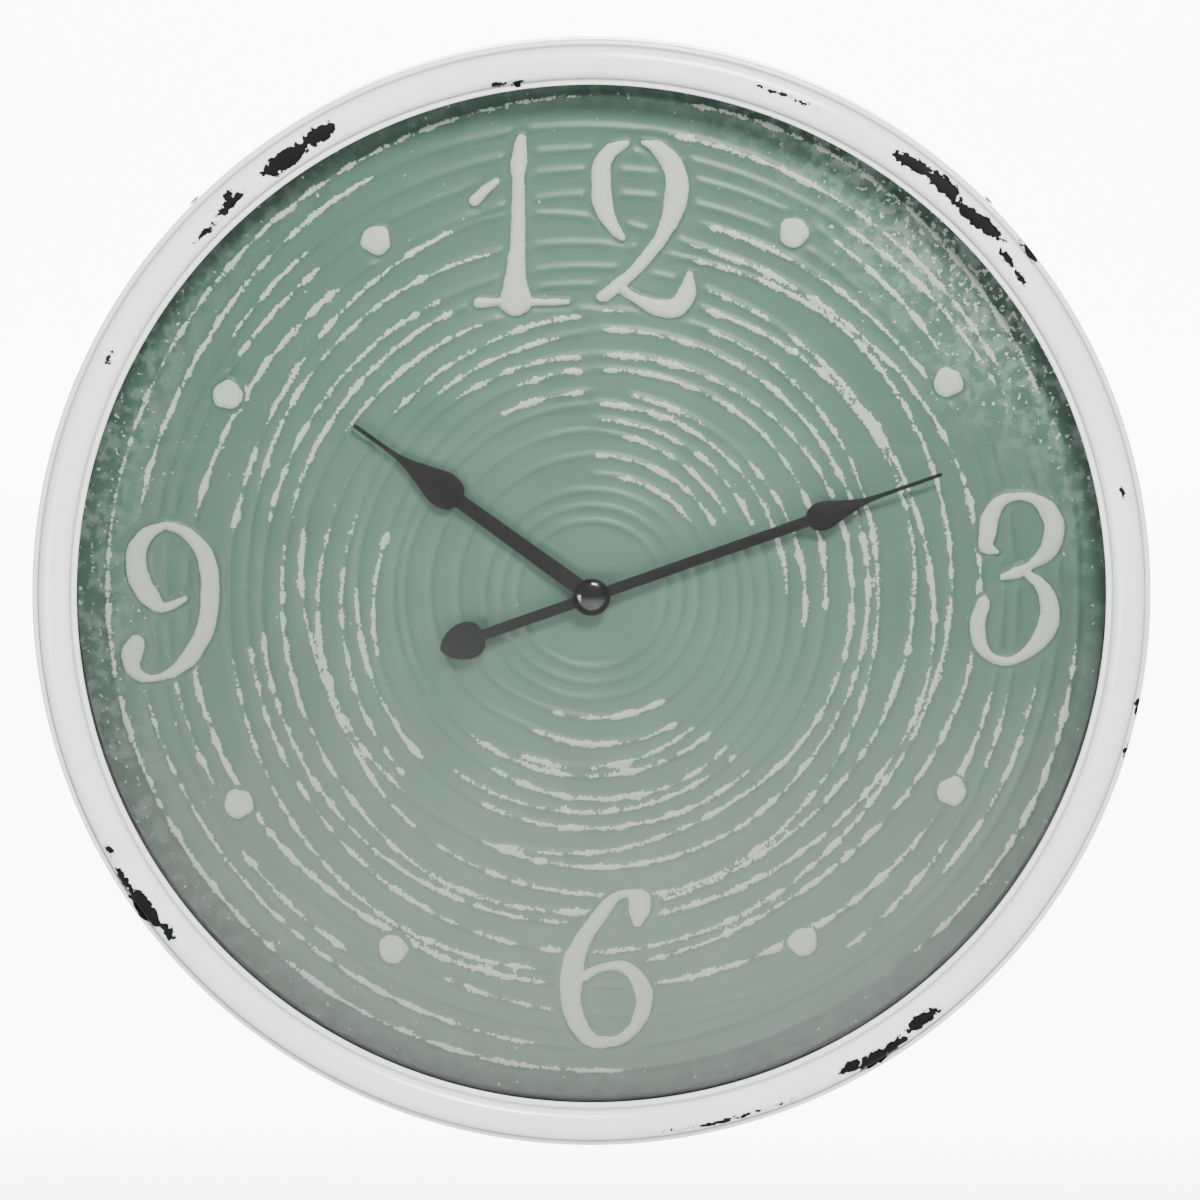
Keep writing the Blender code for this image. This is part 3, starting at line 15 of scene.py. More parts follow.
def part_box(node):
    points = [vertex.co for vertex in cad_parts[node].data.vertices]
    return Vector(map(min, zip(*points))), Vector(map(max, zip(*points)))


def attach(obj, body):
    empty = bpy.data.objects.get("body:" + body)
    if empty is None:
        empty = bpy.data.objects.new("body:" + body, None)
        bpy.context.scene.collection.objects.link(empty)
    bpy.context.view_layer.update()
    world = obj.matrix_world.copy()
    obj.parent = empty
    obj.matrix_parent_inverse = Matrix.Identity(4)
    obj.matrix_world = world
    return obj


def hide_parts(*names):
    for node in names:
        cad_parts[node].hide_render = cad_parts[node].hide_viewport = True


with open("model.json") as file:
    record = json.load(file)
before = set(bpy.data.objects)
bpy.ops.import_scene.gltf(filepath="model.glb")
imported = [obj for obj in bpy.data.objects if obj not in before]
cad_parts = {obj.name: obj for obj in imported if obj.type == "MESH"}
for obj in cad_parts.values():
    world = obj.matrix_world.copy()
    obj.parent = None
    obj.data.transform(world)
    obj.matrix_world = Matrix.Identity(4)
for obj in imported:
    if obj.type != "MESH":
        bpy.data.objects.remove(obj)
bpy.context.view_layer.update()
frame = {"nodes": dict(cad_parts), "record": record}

LOG = logging.getLogger("wall_clock")
MM = 0.001

# A line of points in millimetres, and the same kind of pairs as a constant
Profile = list[tuple[float, float]]
Knots = tuple[tuple[float, float], ...]

# A numeral's stroke: (x, z, half its width) along it, in millimetres
Stroke = tuple[tuple[float, float, float], ...]

# What a shader input takes: a link from another node, a number or a colour
Colour = tuple[float, float, float, float]
Value = bpy.types.NodeSocket | float
Tint = bpy.types.NodeSocket | Colour


class Body(Enum):
    """The moving bodies of the clock that new pieces ride on."""

    CASE = "case"
    MINUTE = "minute"
    HOUR = "hour"
    BATTERY = "battery"


def colour(code: str) -> Colour:
    """Turns an sRGB hex colour into the linear RGBA that shader sockets take.

    Args:
        code: Six hex digits, such as "7f9a8c".

    Returns:
        Linear red, green, blue and an alpha of 1.
    """
    channels = [int(code[start:start + 2], 16) / 255 for start in (0, 2, 4)]
    linear = [c / 12.92 if c <= 0.04045 else ((c + 0.055) / 1.055) ** 2.4 for c in channels]
    return (*linear, 1.0)


def smoothstep(low: float, high: float, value: np.ndarray) -> np.ndarray:
    """Rises smoothly from 0 at low to 1 at high, and falls if high is the smaller.

    Args:
        low: The value that gives 0.
        high: The value that gives 1.
        value: The values to measure.

    Returns:
        A share from 0 to 1 for each value.
    """
    share = np.clip((value - low) / (high - low), 0.0, 1.0)
    return share * share * (3 - 2 * share)


# ---------------------------------------------------------------- shading

class Shader:
    """A material's node tree, with one method that adds nodes and a few that name common groups of them."""

    def __init__(self, name: str) -> None:
        """Makes the material, empties its tree and adds the output and the Object coordinates."""
        self.material = bpy.data.materials.new(name)
        self.material.use_nodes = True
        self.tree = self.material.node_tree
        self.tree.nodes.clear()
        self.output = self.add("ShaderNodeOutputMaterial")
        self.place = self.add("ShaderNodeTexCoord").outputs["Object"]

    def add(
        self, kind: str, settings: dict[str, str] | None = None, **sockets: Value | Tint,
    ) -> bpy.types.Node:
        """Adds one node.

        Args:
            kind: The node's class name.
            settings: Properties set on the node itself.
            **sockets: Input values or links, by socket name or as i0, i1 for a socket's index.

        Returns:
            The new node.
        """
        node = self.tree.nodes.new(kind)
        for key, value in (settings or {}).items():
            setattr(node, key, value)
        for key, value in sockets.items():
            socket = node.inputs[int(key[1:])] if key[1:].isdigit() else node.inputs[key.replace("_", " ")]
            if isinstance(value, bpy.types.NodeSocket):
                self.tree.links.new(value, socket)
            else:
                socket.default_value = value
        return node

    def maths(
        self, operation: str, first: Value, second: Value = 0.0, third: Value = 0.0,
    ) -> bpy.types.NodeSocket:
        """Combines numbers with one Math node."""
        node = self.add("ShaderNodeMath", {"operation": operation}, i0=first, i1=second, i2=third)
        return node.outputs[0]

    def grain(
        self, size_mm: float, detail: float = 2.0, stretch: tuple[float, float, float] = (1.0, 1.0, 1.0),
        seed: float = 0.0,
    ) -> bpy.types.NodeSocket:
        """Noise between 0 and 1 whose spots are about this size.

        Args:
            size_mm: The size of one spot.
            detail: How many finer layers it has.
            stretch: How much longer the spots are along X, Y and Z.
            seed: Moves the pattern, so that two layers don't match.

        Returns:
            The noise's value socket.
        """
        moved = self.add(
            "ShaderNodeMapping", Vector=self.place, Location=(seed, seed * 0.7, seed * 1.3),
            Scale=tuple(1 / s for s in stretch),
        )
        noise = self.add("ShaderNodeTexNoise", Vector=moved.outputs[0], Scale=1000 / size_mm, Detail=detail)
        return noise.outputs["Fac"]

    def ramp(
        self, value: Value, low: float, high: float, start: float = 0.0, end: float = 1.0,
    ) -> bpy.types.NodeSocket:
        """Spreads a value between low and high over start to end, with a soft S curve.

        Args:
            value: What is spread.
            low: The value that gives start.
            high: The value that gives end.
            start: The result at low and below.
            end: The result at high and above.

        Returns:
            The result's socket.
        """
        node = self.add(
            "ShaderNodeMapRange", {"interpolation_type": "SMOOTHSTEP"},
            i0=value, i1=low, i2=high, i3=start, i4=end,
        )
        return node.outputs[0]

    def blend(self, share: Value, first: Tint, second: Tint) -> bpy.types.NodeSocket:
        """Mixes two colours: the first where the share is 0, the second where it is 1."""
        node = self.add("ShaderNodeMix", {"data_type": "RGBA"}, i0=share, i6=first, i7=second)
        return node.outputs[2]

    def bump(self, height: Value, depth_mm: float) -> bpy.types.NodeSocket:
        """A fine relief, this many millimetres deep."""
        return self.add("ShaderNodeBump", Height=height, Distance=depth_mm * MM, Strength=1.0).outputs[0]

    def attribute(self, name: str) -> bpy.types.NodeSocket:
        """Reads a number that the mesh carries."""
        return self.add("ShaderNodeAttribute", {"attribute_name": name}).outputs["Fac"]

    def surface(self, **sockets: Value | Tint) -> bpy.types.Material:
        """Ends the material with a Principled surface."""
        surface = self.add("ShaderNodeBsdfPrincipled", **sockets)
        self.tree.links.new(surface.outputs[0], self.output.inputs["Surface"])
        return self.material


@dataclass(frozen=True)
class Coating:
    """A paint, plastic or rubber: a colour with faint mottling, and a roughness that varies a little.

    Attributes:
        name: The real material's name.
        shade: The colour, as sRGB hex.
        worn: The colour of its thinner or dustier spots.
        roughness: The middle of its roughness.
        spot_mm: The size of the mottling.
        texture_mm: How deep its surface texture is.
        coat: The clear, wet-looking layer on top.
        shine: How strongly it mirrors face on, 0.5 for an ordinary plastic.
    """

    name: str
    shade: str
    worn: str
    roughness: float = 0.5
    spot_mm: float = 6.0
    texture_mm: float = 0.01
    coat: float = 0.0
    shine: float = 0.5

    def build(self) -> bpy.types.Material:
        """Makes the material."""
        shader = Shader(self.name)
        mottle = shader.grain(self.spot_mm, 3.0)
        share = shader.ramp(mottle, 0.35, 0.75, 0.0, 0.6)
        texture = {}
        if self.texture_mm:
            texture["Normal"] = shader.bump(shader.grain(1.4, 1.0, seed=3.0), self.texture_mm)
        return shader.surface(
            Base_Color=shader.blend(share, colour(self.shade), colour(self.worn)),
            Roughness=shader.ramp(mottle, 0.3, 0.7, self.roughness - 0.06, self.roughness + 0.06),
            Coat_Weight=self.coat,
            Specular_IOR_Level=self.shine,
            **texture,
        )


@dataclass(frozen=True)
class Metal:
    """Bare or plated metal, with streaks from rolling or turning.

    Attributes:
        name: The real material's name.
        shade: The colour, as sRGB hex.
        dull: The colour of its dulled spots.
        roughness: The middle of its roughness.
        spot_mm: The size of its cloudy spots.
        streak: How much longer its fine marks are along X than across it.
    """

    name: str
    shade: str
    dull: str
    roughness: float = 0.35
    spot_mm: float = 4.0
    streak: float = 1.0

    def build(self) -> bpy.types.Material:
        """Makes the material."""
        shader = Shader(self.name)
        cloud = shader.grain(self.spot_mm, 3.0)
        marks = shader.grain(0.5, 2.0, stretch=(self.streak, 1.0, 1.0), seed=5.0)
        dulled = shader.ramp(cloud, 0.4, 0.7, 0.0, 0.7)
        return shader.surface(
            Base_Color=shader.blend(dulled, colour(self.shade), colour(self.dull)),
            Metallic=1.0,
            Roughness=shader.ramp(cloud, 0.3, 0.75, self.roughness - 0.08, self.roughness + 0.12),
            Normal=shader.bump(marks, 0.004),
        )


@dataclass(frozen=True)
class DialPaint:
    """Green paint over embossed tinplate, with cream paint rubbed along the crests and over the numerals.

    Attributes:
        name: The real material's name.
        centre: The green in the middle of the dial.
        edge: The green near its edge.
        deep: The darker green close to the rim, where the sprayed coats overlap.
        haze: The pale film of rubbed paint between the crests.
        cloud: The green of the cloudy patches between the two.
        cream: The colour of the rubbed paint.
        thin: The rubbed paint where it is thinner.
    """

    name: str = "satin enamel, sprayed green with rubbed cream crests"
    centre: str = "618172"
    edge: str = "4f7062"
    deep: str = "2d4f40"
    haze: str = "8ea69b"
    cloud: str = "4b6a5c"
    cream: str = "ced2c9"
    thin: str = "c1c7bc"

    def build(self) -> bpy.types.Material:
        """Makes the material."""
        shader = Shader(self.name)
        along_dial = (1.0, 0.0, 1.0)
        flat = shader.add("ShaderNodeVectorMath", {"operation": "MULTIPLY"}, i0=shader.place, i1=along_dial)
        length = shader.add("ShaderNodeVectorMath", {"operation": "LENGTH"}, i0=flat.outputs[0])
        radius = length.outputs["Value"]
        mottle = shader.grain(38.0, 3.0, seed=1.0)
        green = shader.blend(shader.ramp(radius, 60 * MM, 290 * MM), colour(self.centre), colour(self.edge))
        cloudy = shader.blend(shader.ramp(mottle, 0.35, 0.7, 0.0, 0.35), green, colour(self.cloud))
        # Painted shade: the green darkens to the deep colour towards the rim, where the rim shadows the dial.
        rimward = shader.maths("MULTIPLY_ADD", shader.grain(14.0, 2.0, seed=9.0), 24 * MM, -12 * MM)
        outer = shader.ramp(shader.maths("ADD", radius, rimward), 246 * MM, 282 * MM, 0.0, 0.78)
        shaded = shader.blend(outer, cloudy, colour(self.deep))
        worn = shader.ramp(shader.attribute("speckle"), 0.02, 0.13, 0.0, 0.6)
        film = shader.maths("MULTIPLY", worn, shader.ramp(shader.grain(7.0, 4.0, seed=10.0), 0.42, 0.62))
        hazy = shader.blend(film, shaded, colour(self.haze))
        ragged = shader.maths("MULTIPLY_ADD", shader.grain(9.0, 1.0, seed=2.0), 5.0, -2.5)
        torn = shader.maths("MULTIPLY_ADD", shader.grain(1.7, 1.0, seed=4.0), 3.4, -1.7)
        edge = shader.maths("ADD", shader.attribute("paint"), shader.maths("ADD", ragged, torn))
        rubbed = shader.ramp(edge, -0.12, 0.12)
        dust = shader.maths("ADD", shader.grain(3.4, 3.0, seed=6.0), shader.attribute("speckle"))
        specks = shader.ramp(dust, 0.74, 0.76)
        cream = shader.maths("MAXIMUM", rubbed, specks)
        warm = shader.blend(shader.grain(3.0, 3.0, seed=8.0), colour(self.cream), colour(self.thin))
        fine = shader.maths("MULTIPLY", shader.grain(0.7, 2.0, seed=7.0), 0.15)
        relief = shader.maths("ADD", cream, fine)
        return shader.surface(
            Base_Color=shader.blend(cream, hazy, warm),
            Roughness=shader.ramp(cream, 0.0, 1.0, 0.42, 0.6),
            Normal=shader.bump(relief, 0.06),
        )


@dataclass(frozen=True)
class WornEnamel:
    """White enamel on steel, chipped through to its black ground coat.

    Attributes:
        name: The real material's name.
        white: The enamel's colour.
        cool: The enamel's colour in its cloudy patches.
        crease_shade: The grey of the painted shade in the creases and round the opening.
        stain: The rust-grey line round a chip.
        ground: The black ground coat under the enamel.
        burnt: The ground coat's paler spots.
    """

    name: str = "porcelain enamel, fired white over a black ground coat"
    white: str = "e9e9ec"
    cool: str = "dcdce0"
    crease_shade: str = "8d8f93"
    stain: str = "77797c"
    ground: str = "09090a"
    burnt: str = "151516"

    def build(self) -> bpy.types.Material:
        """Makes the material."""
        shader = Shader(self.name)
        torn = shader.maths("MULTIPLY_ADD", shader.grain(3.2, 3.0, seed=2.0), 7.0, -3.5)
        edge = shader.maths("ADD", shader.attribute("chip"), torn)
        chipped = shader.ramp(edge, -0.1, 0.1)
        halo = shader.ramp(edge, -1.1, 0.0, 0.0, 0.35)
        cloud = shader.ramp(shader.grain(45.0, 3.0), 0.4, 0.75, 0.0, 0.5)
        white = shader.blend(cloud, colour(self.white), colour(self.cool))
        # Painted shade: the creases and the opening are greyed where shade falls.
        crease_shaded = shader.blend(shader.attribute("crease_shade"), white, colour(self.crease_shade))
        stained = shader.blend(halo, crease_shaded, colour(self.stain))
        burnt = shader.blend(shader.grain(1.5, 2.0, seed=4.0), colour(self.ground), colour(self.burnt))
        waves = shader.maths("MULTIPLY", shader.grain(14.0, 2.0), 0.4)
        height = shader.maths("SUBTRACT", waves, chipped)
        return shader.surface(
            Base_Color=shader.blend(chipped, stained, burnt),
            Roughness=shader.ramp(chipped, 0.0, 1.0, 0.24, 0.55),
            Normal=shader.bump(height, 0.12),
            Specular_IOR_Level=shader.ramp(chipped, 0.0, 1.0, 0.5, 0.08),
        )


@dataclass(frozen=True)
class PaneGlass:
    """Clear flat glass: it shows what is behind it, and mirrors more at a slant."""

    name: str = "soda-lime glass, float polished"

    def build(self) -> bpy.types.Material:
        """Makes the material."""
        shader = Shader(self.name)
        smear = shader.ramp(shader.grain(60.0, 3.0), 0.4, 0.7, 0.02, 0.05)
        clear = shader.add("ShaderNodeBsdfTransparent", Color=(0.975, 0.985, 0.98, 1.0))
        mirror = shader.add("ShaderNodeBsdfGlossy", Roughness=smear, Color=(1.0, 1.0, 1.0, 1.0))
        slant = shader.add("ShaderNodeFresnel", IOR=1.5).outputs[0]
        mixed = shader.add("ShaderNodeMixShader", i0=slant, i1=clear.outputs[0], i2=mirror.outputs[0])
        shader.tree.links.new(mixed.outputs[0], shader.output.inputs["Surface"])
        return shader.material


# ---------------------------------------------------------------- modelling

class Piece:
    """One new mesh of the clock, from its first profile to its place on a body."""

    def __init__(self, name: str) -> None:
        """Starts an empty mesh with this piece name."""
        self.name = name
        self.mesh = bmesh.new()

    def spin(self, profile: Profile, steps: int, closed: bool = True) -> "Piece":
        """Turns a line of (radius, Y) points, in millimetres, once round the Y axis.

        Args:
            profile: The line's points. A point on the axis has radius 0.
            steps: How many steps make the full turn.
            closed: Whether the last point joins the first.

        Returns:
            This piece, so that calls can follow one another.
        """
        line = [self.mesh.verts.new((radius * MM, y * MM, 0.0)) for radius, y in profile]
        edges = [self.mesh.edges.new(pair) for pair in zip(line, line[1:])]
        if closed:
            edges.append(self.mesh.edges.new((line[-1], line[0])))
        bmesh.ops.spin(
            self.mesh, geom=line + edges, cent=(0, 0, 0), axis=(0, 1, 0), dvec=(0, 0, 0),
            angle=math.tau, steps=steps, use_merge=True, use_duplicate=False,
        )
        bmesh.ops.remove_doubles(self.mesh, verts=self.mesh.verts, dist=1e-7)
        bmesh.ops.recalc_face_normals(self.mesh, faces=self.mesh.faces)
        return self

    def wrap(self, profile: Profile, steps: int) -> "Piece":
        """Makes the ring that spin makes from a closed profile, from one grid rolled round the axis.

        A ring of a thousand steps takes seconds this way and minutes by spinning.

        Args:
            profile: The closed line's points, in millimetres.
            steps: How many steps make the full turn.

        Returns:
            This piece, so that calls can follow one another.
        """
        rows = len(profile)
        bmesh.ops.create_grid(self.mesh, x_segments=steps, y_segments=rows, size=0.5)
        for vert in self.mesh.verts:
            radius, y = profile[round((vert.co.y + 0.5) * rows) % rows]
            turn = math.tau * (round((vert.co.x + 0.5) * steps) % steps) / steps
            vert.co = (radius * MM * math.sin(turn), y * MM, radius * MM * math.cos(turn))
        bmesh.ops.remove_doubles(self.mesh, verts=self.mesh.verts, dist=1e-7)
        bmesh.ops.recalc_face_normals(self.mesh, faces=self.mesh.faces)
        return self

    def sheet(self, outline: list[tuple[float, float]], front: float, thickness: float) -> "Piece":
        """Makes a flat sheet that faces the front.

        Args:
            outline: Its (x, z) outline, in millimetres.
            front: Where its front lies in Y, in millimetres.
            thickness: How thick it is.

        Returns:
            This piece.
        """
        corners = [self.mesh.verts.new((x * MM, front * MM, z * MM)) for x, z in outline]
        face = self.mesh.faces.new(corners)
        face.normal_update()
        if face.normal.y > 0:
            face.normal_flip()
        risen = bmesh.ops.extrude_face_region(self.mesh, geom=[face], use_keep_orig=True)
        moved = [item for item in risen["geom"] if isinstance(item, bmesh.types.BMVert)]
        bmesh.ops.translate(self.mesh, verts=moved, vec=(0, thickness * MM, 0))
        bmesh.ops.recalc_face_normals(self.mesh, faces=self.mesh.faces)
        return self

    def soften(self, width: float, segments: int = 2, sharper_than: float = 35.0) -> "Piece":
        """Rounds the sharp edges.

        Args:
            width: How wide the rounding is, in millimetres.
            segments: How many faces make it.
            sharper_than: Edges that turn more than this many degrees are rounded.

        Returns:
            This piece.
        """
        limit = math.radians(sharper_than)
        sharp = [e for e in self.mesh.edges if len(e.link_faces) == 2 and e.calc_face_angle() > limit]
        bmesh.ops.bevel(
            self.mesh, geom=sharp, offset=width * MM, offset_type="OFFSET", segments=segments,
            profile=0.5, affect="EDGES", clamp_overlap=True, material=-1,
        )
        return self

    def turn(self, degrees: float) -> "Piece":
        """Turns the piece clockwise about the Y axis, as seen from the front."""
        spun = Matrix.Rotation(math.radians(degrees), 3, "Y")
        bmesh.ops.rotate(self.mesh, verts=self.mesh.verts, cent=(0, 0, 0), matrix=spun)
        return self

    def finish(
        self, material: bpy.types.Material, body: Body, slot: str, replaces: tuple[str, ...] = (),
        smooth_below: float = 40.0,
    ) -> bpy.types.Object:
        """Turns the mesh into an object that rides on a body.

        Args:
            material: Its finish.
            body: The CAD body that it moves with.
            slot: The record's material slot; not used.
            replaces: The CAD nodes that it stands for.
            smooth_below: Edges that turn less than this many degrees look smooth.

        Returns:
            The finished object.
        """
        data = bpy.data.meshes.new(self.name)
        self.mesh.to_mesh(data)
        self.mesh.free()
        data.shade_smooth()
        data.set_sharp_from_angle(angle=math.radians(smooth_below))
        data.materials.append(material)
        made = bpy.data.objects.new(self.name, data)
        bpy.context.scene.collection.objects.link(made)
        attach(made, body.value)
        if replaces:
            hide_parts(*replaces)
        LOG.info("%s: %d faces", self.name, len(data.polygons))
        return made


def note_values(data: bpy.types.Mesh, key: str, values: np.ndarray) -> None:
    """Writes one number for each of a mesh's points, for its material to read."""
    data.attributes.new(key, "FLOAT", "POINT").data.foreach_set("value", values.astype(np.float32))


def rounded(points: Profile, radius: float, steps: int = 3) -> Profile:
    """Rounds every corner of a closed (radius, Y) profile.

    Args:
        points: The profile's corners, in order.
        radius: How far from each corner the rounding starts, cut down on short sides.
        steps: How many points make each rounded corner, less one.

    Returns:
        The profile with its corners rounded.
    """
    made: Profile = []
    for index, corner in enumerate(points):
        before = Vector(points[index - 1])
        after = Vector(points[(index + 1) % len(points)])
        here = Vector(corner)
        reach = min(radius, (before - here).length * 0.45, (after - here).length * 0.45)
        start = here + (before - here).normalized() * reach
        end = here + (after - here).normalized() * reach
        for step in range(steps + 1):
            share = step / steps
            point = start * (1 - share) ** 2 + here * 2 * share * (1 - share) + end * share ** 2
            made.append((point.x, point.y))
    return made


def flowing(points: Profile, steps: int) -> Profile:
    """Draws a smooth line through points.

    Args:
        points: The points, in order.
        steps: How many steps go between each two.

    Returns:
        The points of the smooth line, which passes through all of the given ones.
    """
    path = [Vector(p) for p in points]
    path = [path[0] * 2 - path[1], *path, path[-1] * 2 - path[-2]]
    made: Profile = []
    for a, b, c, d in zip(path, path[1:], path[2:], path[3:]):
        for step in range(steps):
            t = step / steps
            point = 0.5 * (
                2 * b + (c - a) * t + (2 * a - 5 * b + 4 * c - d) * t * t + (3 * b - a - 3 * c + d) * t ** 3
            )
            made.append(tuple(point))
    made.append(tuple(path[-2]))
    return made


# ---------------------------------------------------------------- the dial's relief

@dataclass(frozen=True)
class Ridge:
    """One raised wavy line round the dial.

    Attributes:
        knots: (degrees clockwise from twelve, radius in millimetres) along it.
        rubbed: The ranges of degrees where cream paint was rubbed on its crest.
        closed: Whether it goes all the way round and meets itself.
        wide: How much wider than the others its cream line is.
    """

    knots: Knots
    rubbed: Knots = ()
    closed: bool = True
    wide: float = 0.0

    def radius_at(self, degrees: np.ndarray) -> np.ndarray:
        """Finds where the ridge runs, with its corners smoothed away.

        Args:
            degrees: Angles clockwise from twelve.

        Returns:
            Its radius at each, in millimetres.
        """
        angles, radii = (np.array(column) for column in zip(*self.knots))
        dense = np.arange(-40.0, 401.0)
        if self.closed:
            line = np.interp(dense % 360, angles, radii, period=360)
        else:
            line = np.interp(dense, angles, radii)
        kernel = np.exp(-0.5 * (np.arange(-12, 13) / 4.5) ** 2)
        padded = np.pad(line, 12, mode="edge")
        return np.interp(degrees, dense, np.convolve(padded, kernel / kernel.sum(), mode="valid"))

    def strength_at(self, degrees: np.ndarray) -> np.ndarray:
        """Finds where the ridge stands.

        Args:
            degrees: Angles clockwise from twelve.

        Returns:
            1 where it stands, falling to 0 beyond its ends.
        """
        if self.closed:
            return np.ones_like(degrees)
        start, end = self.knots[0][0], self.knots[-1][0]
        return smoothstep(start - 3, start + 3, degrees) * smoothstep(end + 3, end - 3, degrees)

    def rub_at(self, degrees: np.ndarray) -> np.ndarray:
        """Finds where the crest is rubbed with cream.

        Args:
            degrees: Angles clockwise from twelve.

        Returns:
            1 where it is rubbed, 0 where it is left green.
        """
        rub = np.zeros_like(degrees)
        for start, end in self.rubbed:
            stretch = smoothstep(start - 4, start + 3, degrees) * smoothstep(end + 4, end - 3, degrees)
            rub = np.maximum(rub, stretch)
        return rub


